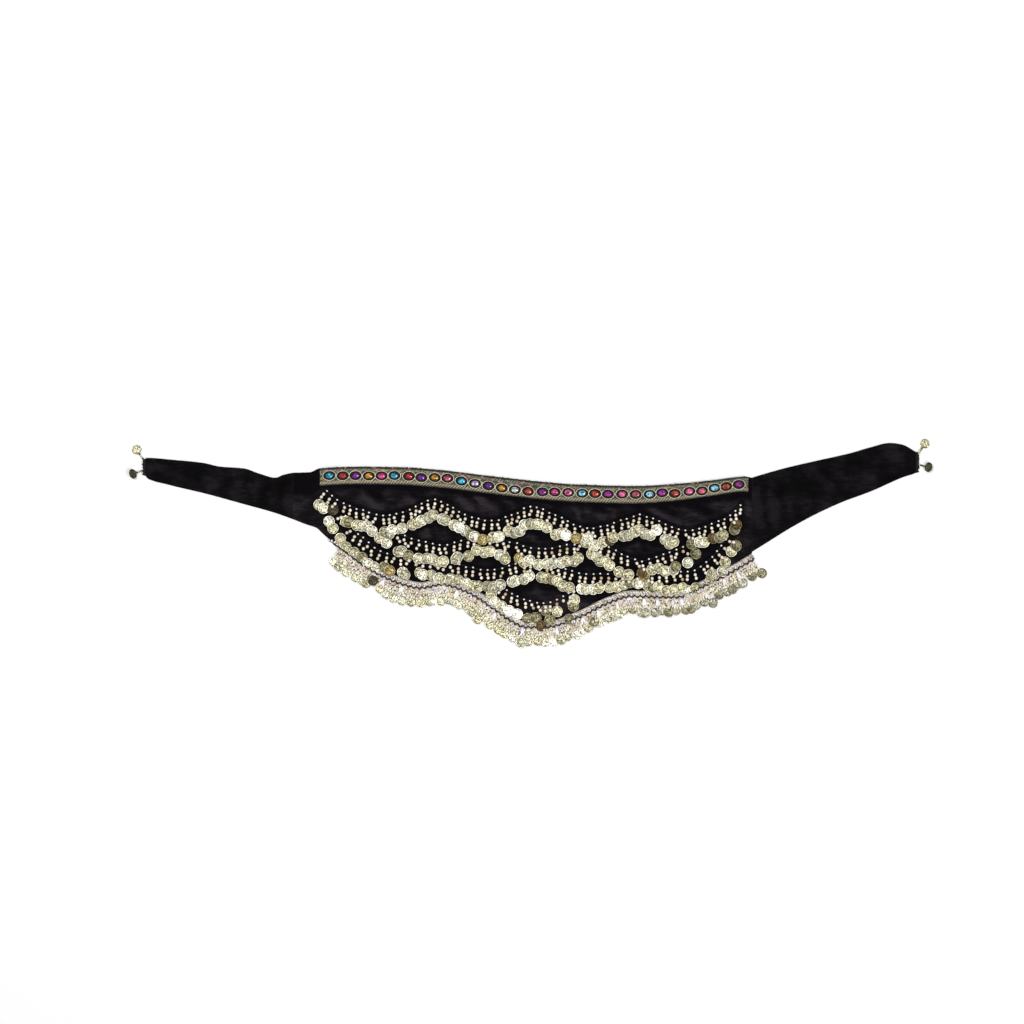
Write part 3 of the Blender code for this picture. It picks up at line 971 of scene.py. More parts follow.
@dataclass(frozen=True)
class Lame(Finish):
    """Jacquard ribbon of flat metallic yarn: bands of khaki gold and dark green, slanted coloured threads.

    Its own attribute strip_mm gives the place on the ribbon: x along it, y across it from its upper edge.
    """

    # across the ribbon, from its upper edge: share of the width, colour
    bands: tuple[tuple[float, str], ...] = (
        (0.0, "0C0909"), (0.085, "120E0D"), (0.11, "4E5036"), (0.19, "66603F"), (0.25, "26281A"),
        (0.66, "1E1F14"), (0.74, "504A38"), (0.80, "82785C"), (0.90, "6A604C"), (0.945, "1C1F18"),
        (1.0, "12110F"),
    )
    # the coloured threads: share of the threads up to here, colour
    threads: tuple[tuple[float, str], ...] = (
        (0.0, "3E6A3A"), (0.22, "7C2430"), (0.36, "24432E"), (0.52, "6B5A7C"), (0.64, "C08A8C"),
        (0.78, "9C9068"),
    )
    # how much of the coloured threads shows across the ribbon
    shown: tuple[tuple[float, float], ...] = ((0.08, 0.25), (0.12, 1.0), (0.66, 1.0), (0.74, 0.3))
    wide_mm: float = 32.4
    yarn_mm: float = 2.0  # the yarn is 0.8 mm, drawn coarser so that it shows
    thread_mm: float = 3.0
    cord_mm: float = 5.4  # a turn of the twisted edge cords is 4 mm, drawn coarser so that it shows

    def settings(self, tree: Any) -> dict:
        """Adds the bands, the yarn, the twist of the edge cords and the coloured threads.

        Args:
            tree: The material's node tree.

        Returns:
            The shader's settings.
        """
        spot = add_node(tree, "Attribute", {"attribute_name": "strip_mm"}).outputs["Vector"]
        axes = add_node(tree, "SeparateXYZ", {"Vector": spot})
        across = add_node(tree, "Math", {"operation": "DIVIDE", 0: axes.outputs["Y"], 1: self.wide_mm})
        bands = tuple((share, linear(colour)) for share, colour in self.bands)
        ramp = add_node(tree, "ValToRGB", {"Fac": across, "stops": bands})
        slant = {"Vector": spot, "Rotation": (0.0, 0.0, math.radians(38)), "Scale": (0.7, 1.4, 1.0)}
        slanted = add_node(tree, "Mapping", slant)
        yarn = {"Vector": slanted, "Scale": 1 / self.yarn_mm, "Detail": 3.0, "Roughness": 0.7}
        wave = add_node(tree, "TexNoise", yarn)
        cord = {"bands_direction": "DIAGONAL", "Scale": 0.628 / self.cord_mm, "Distortion": 1.0}
        twist = add_node(tree, "TexWave", {"Vector": spot, "Detail Scale": 0.3, **cord}).outputs["Fac"]
        relief = add_node(tree, "Math", {"operation": "MULTIPLY_ADD", 0: twist, 1: 1.1, 2: wave})
        light = {"From Min": 0.7, "From Max": 1.45, "To Min": 0.15, "To Max": 1.9}
        lit = add_node(tree, "MapRange", {"Value": relief, **light})
        woven = add_node(tree, "VectorMath", {"operation": "SCALE", 0: ramp, "Scale": lit})
        cells = add_node(tree, "TexVoronoi", {"Vector": slanted, "Scale": 1 / self.thread_mm})
        share = add_node(tree, "SeparateColor", {"Color": cells.outputs["Color"]})
        some = {"From Min": 0.46, "From Max": 0.52, "To Min": 0.0, "To Max": 0.6}
        chosen = add_node(tree, "MapRange", {"Value": share.outputs["Red"], **some})
        shown = tuple((place, (grey, grey, grey, 1.0)) for place, grey in self.shown)
        above = add_node(tree, "ValToRGB", {"Fac": across, "stops": shown})
        specks = add_node(tree, "Math", {"operation": "MULTIPLY", 0: chosen, 1: above})
        threads = tuple((place, linear(colour)) for place, colour in self.threads)
        hue = add_node(tree, "ValToRGB", {"Fac": share.outputs["Green"], "stops": threads})
        hue.color_ramp.interpolation = "CONSTANT"
        return {
            "Base Color": add_node(tree, "MixRGB", {"Fac": specks, "Color1": woven, "Color2": hue}),
            "Normal": add_node(tree, "Bump", {"Height": wave, "Strength": 0.8, "Distance": 0.0005}),
            "Metallic": 0.2,
            "Roughness": 0.5,
        }


@dataclass(frozen=True)
class GiltMetal(Finish):
    """Thin stamped alloy with a pale champagne gilt, rubbed bright in soft random patches."""

    bright: str = "FFFBE2"
    worn: str = "E2D9B0"
    grain_mm: float = 2.5

    def settings(self, tree: Any) -> dict:
        """Adds the wear.

        Args:
            tree: The material's node tree.

        Returns:
            The shader's settings.
        """
        spot = add_node(tree, "TexCoord").outputs["Object"]
        wear = add_node(tree, "TexNoise", {"Vector": spot, "Scale": 1 / (self.grain_mm * MM), "Detail": 3.0})
        mix = {"Fac": wear, "Color1": linear(self.worn), "Color2": linear(self.bright)}
        return {"Base Color": add_node(tree, "MixRGB", mix), "Metallic": 0.3, "Roughness": 0.35}


@dataclass(frozen=True)
class CoinMetal(Finish):
    """A stamped coin: a rim that stands up, a ring of dots and a rosette, with olive tarnish in the hollows
    and a painted shade line round its edge.

    Its own attributes: local_mm, the place on the coin, seed, the coin's number, and tint, its tone: how it
    has aged, and on PALE and GLINT coins a painted highlight.
    """

    hollow: str = "545040"
    ground: str = "BCB9A4"
    proud: str = "FFFDF2"
    # the circles of the relief: radius, half width, waves round the coin, how far it stands up
    circles: tuple[tuple[float, float, float, float], ...] = (
        (7.0, 0.9, 16.0, 0.2),  # a ring of dots
        (3.4, 2.4, 5.0, 0.25),  # the rosette
        (8.0, 0.7, 0.0, -0.4),  # a groove
        (9.3, 0.9, 0.0, 0.6),  # the rim
        (10.4, 0.5, 0.0, -0.7),  # painted shade: a dark line round the coin's edge
    )
    relief_mm: float = 3.6

    def settings(self, tree: Any) -> dict:
        """Adds the relief, which lies and turns differently on each coin, and its tarnish.

        Args:
            tree: The material's node tree.

        Returns:
            The shader's settings.
        """
        spot, seed, tint = (
            add_node(tree, "Attribute", {"attribute_name": name}).outputs[output]
            for name, output in (("local_mm", "Vector"), ("seed", "Fac"), ("tint", "Color"))
        )
        x, y, _ = add_node(tree, "SeparateXYZ", {"Vector": spot}).outputs
        plan = add_node(tree, "CombineXYZ", {"X": x, "Y": y})
        radius = add_node(tree, "VectorMath", {"operation": "LENGTH", 0: plan}).outputs["Value"]
        angle = add_node(tree, "Math", {"operation": "ARCTAN2", 0: y, 1: x})
        level = add_node(tree, "Math", {"operation": "MULTIPLY", 0: seed, 1: 300.0})
        own = add_node(tree, "CombineXYZ", {"Z": level})
        moved = add_node(tree, "VectorMath", {"operation": "ADD", 0: spot, 1: own})
        stamped = {"Vector": moved, "Scale": 1 / self.relief_mm, "Detail": 2.0, "Roughness": 0.7}
        relief = add_node(tree, "TexNoise", stamped)
        relief = add_node(tree, "Math", {"operation": "SUBTRACT", 0: relief, 1: 0.5})
        relief = add_node(tree, "Math", {"operation": "MULTIPLY_ADD", 0: relief, 1: 2.2, 2: 0.5})
        turn = add_node(tree, "Math", {"operation": "MULTIPLY", 0: seed, 1: 40.0})
        for middle, half, waves, high in self.circles:
            steps = [
                {"operation": "SUBTRACT", 1: middle},
                {"operation": "ABSOLUTE"},
                {"operation": "MULTIPLY_ADD", 1: -1 / half, 2: 1.0},
                {"operation": "MAXIMUM", 1: 0.0},
            ]
            if waves:
                wave = add_node(tree, "Math", {"operation": "MULTIPLY", 0: angle, 1: waves})
                wave = add_node(tree, "Math", {"operation": "ADD", 0: wave, 1: turn})
                wave = add_node(tree, "Math", {"operation": "SINE", 0: wave})
                steps.append({"operation": "MULTIPLY", 1: wave})
            circle = radius
            for step in (*steps, {"operation": "MULTIPLY", 1: high}):
                circle = add_node(tree, "Math", {0: circle, **step})
            relief = add_node(tree, "Math", {"operation": "ADD", 0: relief, 1: circle})
        tones = zip((0.12, 0.5, 0.9), map(linear, (self.hollow, self.ground, self.proud)))
        ramp = add_node(tree, "ValToRGB", {"Fac": relief, "stops": tuple(tones)})
        return {
            "Base Color": add_node(tree, "VectorMath", {"operation": "MULTIPLY", 0: ramp, 1: tint}),
            "Normal": add_node(tree, "Bump", {"Height": relief, "Strength": 0.9, "Distance": 0.0006}),
            "Metallic": 0.7,
            "Roughness": 0.32,
        }


@dataclass(frozen=True)
class Bead(Finish):
    """Pearl-coated plastic beads with a soft gloss, each in the colour of its own attribute tint."""

    roughness: float = 0.28
    coat: float = 0.6

    def settings(self, tree: Any) -> dict:
        """Adds the beads' own colour.

        Args:
            tree: The material's node tree.

        Returns:
            The shader's settings.
        """
        tint = add_node(tree, "Attribute", {"attribute_name": "tint"}).outputs["Color"]
        return {
            "Base Color": tint,
            "Roughness": self.roughness,
            "Coat Weight": self.coat,
            "Coat Roughness": 0.12,
        }


@dataclass(frozen=True)
class FoiledGlass(Finish):
    """Foil-backed faceted glass in the colour of each stone, stored as its own attribute tint."""

    facet_mm: float = 3.2

    def settings(self, tree: Any) -> dict:
        """Adds painted reflections: cells the size of a facet, each drawn with its own brightness.

        Args:
            tree: The material's node tree.

        Returns:
            The shader's settings.
        """
        tint = add_node(tree, "Attribute", {"attribute_name": "tint"}).outputs["Color"]
        spot = add_node(tree, "TexCoord").outputs["Object"]
        # painted reflections: each cell is drawn lighter or darker, as if its facet caught the light
        reflection_cells = add_node(tree, "TexVoronoi", {"Vector": spot, "Scale": 1 / (self.facet_mm * MM)})
        facet = add_node(tree, "SeparateColor", {"Color": reflection_cells.outputs["Color"]}).outputs["Red"]
        light = {"From Min": 0.1, "From Max": 0.9, "To Min": 0.2, "To Max": 1.6}
        lit = add_node(tree, "MapRange", {"Value": facet, **light})
        return {
            "Base Color": add_node(tree, "VectorMath", {"operation": "SCALE", 0: tint, "Scale": lit}),
            "Metallic": 0.35,
            "Roughness": 0.16,
            "Coat Weight": 1.0,
            "Coat Roughness": 0.03,
        }


@dataclass(frozen=True)
class Yarn(Finish):
    """Spun thread or crochet cotton: matt, with a ply that shows as fine slanted strokes."""

    colour: str = "0B0A0B"
    other: str = "1D1A1C"
    ply_mm: float = 1.6
    roughness: float = 0.8

    def settings(self, tree: Any) -> dict:
        """Adds the ply.

        Args:
            tree: The material's node tree.

        Returns:
            The shader's settings.
        """
        spot = add_node(tree, "TexCoord").outputs["Object"]
        ply = add_node(tree, "TexNoise", {"Vector": spot, "Scale": 1 / (self.ply_mm * MM), "Detail": 3.0})
        stops = ((0.35, linear(self.colour)), (0.65, linear(self.other)))
        return {
            "Base Color": add_node(tree, "ValToRGB", {"Fac": ply, "stops": stops}),
            "Normal": add_node(tree, "Bump", {"Height": ply, "Strength": 0.6, "Distance": 0.0004}),
            "Roughness": self.roughness,
        }


@dataclass(frozen=True)
class Paper(Finish):
    """The plain pale surface that the scarf lies on."""

    colour: str = "F4F4F4"

    def settings(self, tree: Any) -> dict:
        """Takes no nodes of its own.

        Args:
            tree: The material's node tree.

        Returns:
            The shader's settings.
        """
        return {"Base Color": linear(self.colour), "Roughness": 0.95, "Specular IOR Level": 0.0}


# ------------------------------------------------------------------ tints


def coin_tints(row: str, xs: Array, rng: np.random.Generator, light: Any = 1.0) -> tuple[list, Array, Array]:
    """How each coin of a row is tinted and how it hangs: plain, but for the odd ones of the table, among
    them painted highlights.

    Args:
        row: The row's key in the table.
        xs: The x of the coins.
        rng: The source of their unevenness.
        light: What the plain tint of each coin is multiplied by.

    Returns:
        The tints, how much lower than the row each coin hangs, and how far aside.
    """
    khaki, cream = (np.array(linear(colour)) for colour in ("D8D3B8", "FFFEF8"))
    shares = rng.random(len(xs))[:, None]
    strengths = rng.uniform(0.8, 1.3, len(xs)) * light
    tints = [tuple(tint) for tint in (khaki + (cream - khaki) * shares) * strengths[:, None]]
    lower, aside = rng.normal(0, 2.2, len(xs)), np.zeros(len(xs))
    for odd in ODD_COINS[row]:
        nearest = int(np.abs(xs - odd.x).argmin())
        tints[nearest] = scaled(*odd.tone.value)
        lower[nearest] += odd.lower
        aside[nearest] += odd.aside
    return tints, lower, aside


@dataclass(frozen=True)
class BeadMix:
    """The colours that a handful of beads has, and how many of a hundred have each."""

    colours: tuple[str, ...]
    shares: tuple[int, ...]

    def pick(self, rng: np.random.Generator) -> Tint:
        """Draws the tint of one bead.

        Args:
            rng: The source of chance.

        Returns:
            Red, green, blue and alpha.
        """
        chosen = rng.choice(len(self.colours), p=np.array(self.shares) / sum(self.shares))
        return scaled(self.colours[chosen], rng.uniform(0.85, 1.1))


PEARLS = BeadMix(("FCF3E2", "F3E6CE", "EADCC2", "D2B488"), (38, 36, 22, 4))
SEEDS = BeadMix(("FFFFFF", "FFF6E6"), (70, 30))
CREAMS = BeadMix(("EFE9CF", "FBF6E4", "DDD5B2"), (45, 25, 30))
BLUSHES = BeadMix(("EEDCCB", "E6CFC0", "E0D2D6"), (45, 30, 25))
GOLDS = BeadMix(("D8C4A2", "BFA278", "E4D4B6"), (45, 20, 35))
LILACS = BeadMix(("F2ECF3", "FFFFFF", "E6DEEA"), (45, 35, 20))
CHAINS = BeadMix(("CFC596", "4A4030", "98906A", "16120E"), (40, 22, 22, 16))
EDGE_YARNS = BeadMix(("0E100E", "1B3322", "3E1420", "221A2C", "9A7C5C"), (42, 24, 18, 12, 4))
CHAIN_YARNS = BeadMix(("F3ECE2", "FDF9F2", "E0D5CE", "C4B6A6"), (35, 30, 22, 13))


# ------------------------------------------------------------------ small shapes


def edited() -> Any:
    """Opens the new primitive in edit mode.

    Returns:
        The object.
    """
    bpy.ops.object.transform_apply(location=True, rotation=False, scale=False)
    bpy.ops.object.mode_set(mode="EDIT")
    return bpy.context.active_object


def select_top(obj: Any) -> None:
    """Selects only the faces that look straight up, in edit mode.

    Args:
        obj: The object.
    """
    bpy.ops.mesh.select_all(action="DESELECT")
    bm = bmesh.from_edit_mesh(obj.data)
    for face in bm.faces:
        face.select_set(face.normal.z > 0.9)
    bmesh.update_edit_mesh(obj.data)


def stretch(along: float, across: float) -> None:
    """Scales all of the mesh in edit mode from the origin.

    Args:
        along: By how much along X.
        across: By how much along Y.
    """
    bpy.ops.mesh.select_all(action="SELECT")
    bpy.ops.transform.resize(value=(along, across, 1.0), center_override=(0, 0, 0))


def disc(sides: int, radius: float, deep: float, foot: float) -> Any:
    """Adds a flat cylinder and opens it in edit mode.

    Args:
        sides: The sides of its outline.
        radius: Its radius.
        deep: Its height.
        foot: The level of its underside.

    Returns:
        The object.
    """
    deselect()
    bpy.ops.mesh.primitive_cylinder_add(
        vertices=sides, radius=radius, depth=deep, location=(0, 0, foot + deep / 2), end_fill_type="NGON"
    )
    return edited()


def coin_shape(wide: float) -> Shape:
    """Models a coin with a raised rim and a hollow field.

    Args:
        wide: Its diameter.

    Returns:
        The shape, its face towards +Z.
    """
    thick = 0.55
    coin = disc(18, wide / 2, thick, -thick / 2)
    select_top(coin)
    bpy.ops.mesh.inset(thickness=wide * 0.055, depth=0.0)
    bpy.ops.mesh.inset(thickness=wide * 0.02, depth=-0.2)
    return Shape.taken_from(coin)


def bead_shape(wide: float, long: float, sides: int = 8, rings: int = 6) -> Shape:
    """Models an oval bead whose thread runs along its X axis.

    Args:
        wide: Its diameter.
        long: Its length.
        sides: The sides of its outline.
        rings: Its rings from pole to pole.

    Returns:
        The shape.
    """
    deselect()
    bpy.ops.mesh.primitive_uv_sphere_add(segments=sides, ring_count=rings, radius=wide / 2)
    bead = edited()
    stretch(long / wide, 1.0)
    return Shape.taken_from(bead)


def ring_shape(half_x: float, half_y: float, wire: float) -> Shape:
    """Models an oval ring of round wire.

    Args:
        half_x: Half its length to the middle of the wire.
        half_y: Half its width.
        wire: The wire's radius.

    Returns:
        The shape.
    """
    deselect()
    bpy.ops.mesh.primitive_torus_add(
        major_radius=half_x, minor_radius=wire, major_segments=28, minor_segments=8
    )
    ring = edited()
    stretch(1.0, half_y / half_x)
    return Shape.taken_from(ring)


def stone_shape(half_x: float, half_y: float, high: float) -> Shape:
    """Models an oval stone with a girdle, two rows of facets and a flat table.

    Args:
        half_x: Half its length.
        half_y: Half its width.
        high: Its height over its setting.

    Returns:
        The shape, its foot at z = 0.
    """
    sides = 14
    stone = disc(sides, half_x, high * 0.3, 0.0)
    select_top(stone)
    bpy.ops.mesh.inset(thickness=half_x * 0.2, depth=high * 0.42)
    bpy.ops.transform.rotate(value=math.pi / sides, orient_axis="Z", center_override=(0, 0, 0))
    bpy.ops.mesh.inset(thickness=half_x * 0.3, depth=high * 0.28)
    stretch(1.0, half_y / half_x)
    return Shape.taken_from(stone)


def cup_shape(half_x: float, half_y: float, high: float) -> Shape:
    """Models the low oval cup that a stone sits in.

    Args:
        half_x: Half its length.
        half_y: Half its width.
        high: Its height.

    Returns:
        The shape, its foot at z = 0.
    """
    cup = disc(24, half_x, high, 0.0)
    stretch(1.0, half_y / half_x)
    select_top(cup)
    bpy.ops.mesh.inset(thickness=0.9, depth=-high * 0.5)
    return Shape.taken_from(cup)


# ------------------------------------------------------------------ cloth


@dataclass
class Cloth:
    """One velvet piece: a thin shell between its upper and lower edges, with its folds."""

    name: str
    node: str
    top: Line
    foot: Line
    folds: Sequence[Fold]
    cells: tuple[int, int]
    sewn: Sequence[tuple[Line, float]] = ()  # lines that something is sewn on, and how far down it reaches
    ripple: float = 0.22  # height of the small unevenness of cloth that has been handled
    rounding: float = 0.5
    over: float = 4.0  # how far above a sewn line the cloth is held
    loosens: float = 8.0  # the cloth is free this far from what is sewn on
    shade_under_sewn: float = 1.2  # painted shade: how much darker the cloth is drawn under what is sewn on
    lit_edge: tuple[float, float, float] = (0.0, 0.0, 1.0)  # painted sheen along a seam: x, how much lighter, and how far it fades

    def free(self, x: Array, y: Array) -> Array:
        """How free the cloth is: 0 where something is sewn on, 1 away from it.

        Args:
            x: The points' x.
            y: The points' y.

        Returns:
            The shares.
        """
        free = np.ones_like(x)
        for line, reach in self.sewn:
            inside = line.held(x)
            upper = line.y(inside) + self.over
            away = np.maximum(np.maximum(y - upper, upper - reach - y), np.abs(x - inside))
            free = np.minimum(free, ease(away / self.loosens))
        return free

    def surface(self, u: Array, v: Array) -> Array:
        """The underside of the cloth: the folds, and a small ripple but where something is sewn on.

        Args:
            u: The share of the way from the left end.
            v: The share of the way from the lower edge.

        Returns:
            The points.
        """
        left, right = self.ends()
        x = left + (right - left) * u
        foot = self.foot.y(x)
        y = foot + (self.top.y(x) - foot) * v
        waves = np.sin(x / 13.0 + np.sin(y / 17.0) * 1.7) * np.sin(y / 11.0 + x / 29.0)
        high = (fold_heights(x, y, self.folds) + self.ripple * (1 + waves)) * self.free(x, y)
        return np.column_stack([x, y, high])

    def ends(self) -> tuple[float, float]:
        """The x of both ends, with half a gap left for the seams."""
        return self.top.xs[0] + GAP / 2, self.top.xs[-1] - GAP / 2

    def make(self, finish: Any) -> None:
        """Args:
            finish: Its material.
        """
        piece = sheet_grid(self.name, self.cells, self.surface)
        thicken(piece, CLOTH, self.rounding)
        x, y, _ = (coordinates(piece) / MM).T
        edge, more, fade = self.lit_edge
        # painted light and shade: lighter beside folds and along the seam, darker in fold hollows and under
        # what is sewn on
        painted_light_and_shade = fold_painted_shading(x, y, self.folds) + more * np.exp(-np.abs(x - edge) / fade)
        give(piece, "nap", "FLOAT", painted_light_and_shade - self.shade_under_sewn * (1 - self.free(x, y)))
        dress(piece, finish, "velvet", self.node)
        left, right = self.ends()
        xs = np.linspace(left, right, 400)
        top, foot = self.top.y(xs), self.foot.y(xs)


# ------------------------------------------------------------------ braid


class StoneColour(Enum):
    """The colours of the glass stones."""

    BLUE = "3FAFD2"
    SKY = "93D6EE"
    RED = "AA2422"
    FLAME = "CE4A38"
    PURPLE = "6E1A88"
    PLUM = "9A2C94"
    LILAC = "C9BDE0"
    AMBER = "C68F2E"
    PINK = "D43C88"
    FUCHSIA = "E46A9A"
    ROSE = "C85C70"
    CLEAR = "F2F4F6"


STONE_ROW = (
    "BLUE RED PURPLE AMBER PINK BLUE RED PURPLE AMBER ROSE BLUE LILAC PURPLE AMBER CLEAR FLAME "
    "PLUM PINK FUCHSIA SKY FLAME PLUM FUCHSIA ROSE SKY PLUM FLAME FUCHSIA ROSE SKY FLAME PLUM"
).split()
# how far each stone sits to the right of its even place and below it
STONE_SHIFTS = (
    (0.2, 0.0), (0.6, 1.6), (-0.4, 2.0), (-0.2, 2.6), (-1.2, 2.0), (-2.0, 0.9), (0.3, 1.6), (-1.3, 2.4),
    (-0.9, 0.2), (-2.0, -0.8), (-0.7, 1.4), (0.0, 2.6), (0.2, 4.0), (0.5, 5.0), (0.2, 5.4), (-0.1, 5.6),
    (2.2, 4.2), (0.2, 2.2), (0.7, 1.1), (2.1, 1.5), (1.3, 1.1), (0.6, 1.2), (2.2, 0.6), (2.8, 1.0),
    (4.2, 1.5), (2.8, 0.0), (1.5, 2.6), (3.9, 1.1), (2.8, 2.8), (1.6, 0.4), (-1.2, 0.7), (-2.6, -0.2),
)


@dataclass
class JewelBraid:
    """The metallic ribbon along the waist edge, with its oval stones, each in a gold ring."""

    waist: Line
    left: float = -382.0
    right: float = 393.0
    top: float = 0.6
    foot: float = 31.8
    stone_line: float = 14.2
    narrow_from: float = 190.0
    narrowing: float = 4.6
    thick: float = 0.9
    stone_first: float = -365.0
    stone_last: float = 378.3
    ring: tuple[float, float, float] = (11.45, 8.7, 0.68)  # half length, half width, radius of the wire
    cup: tuple[float, float, float] = (11.2, 8.4, 1.5)  # half length, half width, height
    stone: tuple[float, float, float] = (6.7, 5.0, 2.6)
    stone_foot: float = 0.7  # of a stone over its cup's foot
    stitch_steps: tuple[float, float] = (4.4, 6.0)  # along the upper edge, and along the foot
    knot_step: float = 3.3
    knot_turn: float = 24.0

    def foot_at(self, x: Any) -> Any:
        """How far below the waist edge the ribbon's foot lies: it narrows at its right end.

        Args:
            x: Where along the waist.

        Returns:
            The distances.
        """
        return self.foot - self.narrowing * ease((x - self.narrow_from) / (self.right - self.narrow_from))

    def surface(self, u: Array, v: Array) -> Array:
        """The underside of the ribbon.

        Args:
            u: The share of the way from the left end.
            v: The share of the way from the foot.

        Returns:
            The points.
        """
        x = self.left + (self.right - self.left) * u
        foot = self.foot_at(x)
        y = self.waist.y(x) - foot + (foot - self.top) * v
        frayed = 0.35 * np.sin(x * 1.9) * (np.abs(v - 0.5) > 0.49)
        return np.column_stack([x, y + frayed, LEVEL + 0.12 * (1 + np.sin(x / 3.1))])

    def places(self, height: float, rng: np.random.Generator) -> list[Place]:
        """Where the stones go, each turned with the waist edge.

        Args:
            height: The level of their feet.
            rng: The source of each stone's small turn.

        Returns:
            A place for each stone.
        """
        found = []
        half = 5.0  # the waist's slope is taken over this far to either side
        spread = np.linspace(self.stone_first, self.stone_last, len(STONE_ROW))
        for x, word, (aside, lower) in zip(spread, STONE_ROW, STONE_SHIFTS):
            rise = float(self.waist.y(x + half) - self.waist.y(x - half))
            middle = np.array([x + aside, float(self.waist.y(x)) - self.stone_line - lower, height])
            slope = math.degrees(math.atan2(rise, 2 * half)) + rng.uniform(-3, 3)
            found.append(Place(middle, turned(slope), rng.random(), linear(StoneColour[word].value)))
        return found

    def make(self, lame: Any, gilt: Any, enamel: Any, glass: Any, thread: Any, yarn: Any) -> None:
        """Builds the ribbon, the rings, the cups, the stones and the stitches along both edges.

        Args:
            lame: The ribbon's material.
            gilt: The rings' material.
            enamel: The cups' material.
            glass: The stones' material.
            thread: The stitches' material.
            yarn: The material of the knots along the upper edge.
        """
        rng = np.random.default_rng(RANDOM_SEED)
        ribbon = sheet_grid("braid_ribbon", (520, 10), self.surface)
        thicken(ribbon, self.thick, 0.3)
        x, y, _ = (coordinates(ribbon) / MM).T
        across = (self.waist.y(x) - y) * self.foot / self.foot_at(x)
        give(ribbon, "strip_mm", "FLOAT_VECTOR", np.column_stack([x, across, np.zeros(len(x))]))
        dress(ribbon, lame, "braid", "jewel_braid")

        feet = self.places(LEVEL + self.thick + 0.25, rng)
        rings = [Place(p.middle + np.array([0, 0, self.ring[2] * 0.7]), p.axes, p.seed) for p in feet]
        seated = [Place(p.middle + np.array([0, 0, self.stone_foot]), p.axes, p.seed, p.tint) for p in feet]
        ring = dress(stamp("braid_rings", ring_shape(*self.ring), rings), gilt, "braid")
        cup = dress(stamp("braid_cups", cup_shape(*self.cup), feet, False), enamel, "braid")
        stone = dress(stamp("braid_stones", stone_shape(*self.stone), seated, False), glass, "braid")
        self.stitches(thread)
        self.knots(yarn, rng)

    def knots(self, yarn: Any, rng: np.random.Generator) -> Any:
        """The knobbly upper edge of the ribbon: small slanted knots of dark coloured yarn.

        Args:
            yarn: Their material.
            rng: The source of their unevenness.

        Returns:
            The knots as one piece.
        """
        places = []
        for x in np.arange(self.left + 3, self.right - 3, self.knot_step):
            spot = np.array([x, float(self.waist.y(x)) - 1.3, LEVEL + self.thick + 1.0])
            spot[:2] += rng.normal(0, (0.5, 0.45))
            axes = turned(self.knot_turn + rng.normal(0, 14))
            places.append(Place(spot, axes, rng.random(), EDGE_YARNS.pick(rng)))
        return strew("braid_edge_knots", bead_shape(2.7, 4.6, 6, 5), places, yarn, "braid")

    def stitches(self, thread: Any) -> Any:
        """Whip stitches over the ribbon's upper edge and small stitches along its foot.

        Args:
            thread: Their material.

        Returns:
            The stitches as one piece.
        """
        paths = []
        high = LEVEL + self.thick + 0.3
        upper, lower = self.stitch_steps
        for x in np.arange(self.left + 2, self.right - 2, upper):
            y = float(self.waist.y(x))
            rows = [(x, y - 4.4, high), (x + 1.0, y - 2.2, high + 0.5), (x + 2.0, y - 0.1, high - 0.2)]
            paths.append(np.array(rows))
        for x in np.arange(self.left + 3, self.right - 3, lower):
            y = float(self.waist.y(x) - self.foot_at(x)) + 1.4
            paths.append(np.array([(x, y, high - 0.1), (x + 1.5, y, high + 0.15), (x + 3.0, y, high - 0.1)]))
        return dress(tubes("braid_stitches", paths, 0.5), thread, "overstitch")


# ------------------------------------------------------------------ strands


class Rest:
    """Works out how high each coin of a row lies: on the velvet, or on the beads of a lower row."""

    TILT = 0.12  # of a coin that lies on its neighbour
    DROP = 0.5  # a coin may lie this much lower than its left neighbour
    MIDDLE, FAR = 29.8, 39.2  # from the sewn line to a coin's middle, and to its lower edge
    NEAR = 20.0  # a coin meets the beads this far past the ends of their line
    ROOM, BEADS = 6.0, 9.0  # a coin rises over this length before the beads, and over this length of them
    BEAD_HIGH = 3.6

    def __init__(self, lower: Sequence[Line]) -> None:
        """Keeps the rows below.

        Args:
            lower: Their sewn lines.
        """
        self.lower = lower

    def reach(self, x: float, foot: float) -> float:
        """How far a coin has passed onto the beads of a lower row.

        Args:
            x: The coin's x.
            foot: The y of its lower edge.

        Returns:
            0 on the velvet, up to 1 on the beads.
        """
        most = 0.0
        for line in self.lower:
            inside = float(line.held(x))
            passed = float(line.y(inside)) + 1.5 - foot
            if abs(x - inside) < self.NEAR and passed < self.FAR + self.NEAR:
                most = max(most, float(ease(np.array((passed + self.ROOM) / (self.BEADS + self.ROOM)))))
        return most

    def levels(self, xs: Array, ys: Array, leans: Array) -> list[float]:
        """The height of each coin's middle. A coin laps over its left neighbour.

        Args:
            xs: The x of the strands' roots.
            ys: Their y.
            leans: The way they hang.

        Returns:
            The heights.
        """
        low = LEVEL + GAP + self.TILT * 10 + 0.25  # 10 is a coin's radius, 0.25 half its thickness
        found: list[float] = []
        for x, y, lean in zip(xs, ys, np.radians(leans)):
            share = self.reach(x + math.sin(lean) * self.MIDDLE, y - math.cos(lean) * self.FAR)
            level = low + self.BEAD_HIGH * share
            found.append(max(level, found[-1] - self.DROP) if found else level)
        return found


def bunch_shifts(xs: Array, parts: Sequence[float]) -> Array:
    """How far each coin hangs aside, so that the row parts at the given places.

    Args:
        xs: The x of the coins.
        parts: Where the row parts.

    Returns:
        The shifts along the row.
    """
    most, fades = 5.6, 30.0  # the shift beside a parting, and how far from it the row hangs straight
    shifts = np.zeros_like(xs)
    for part in parts:
        away = xs - part
        shifts += np.where(away < 0, -1.0, 1.0) * most * np.clip(1 - np.abs(away) / fades, 0, 1)
    return shifts


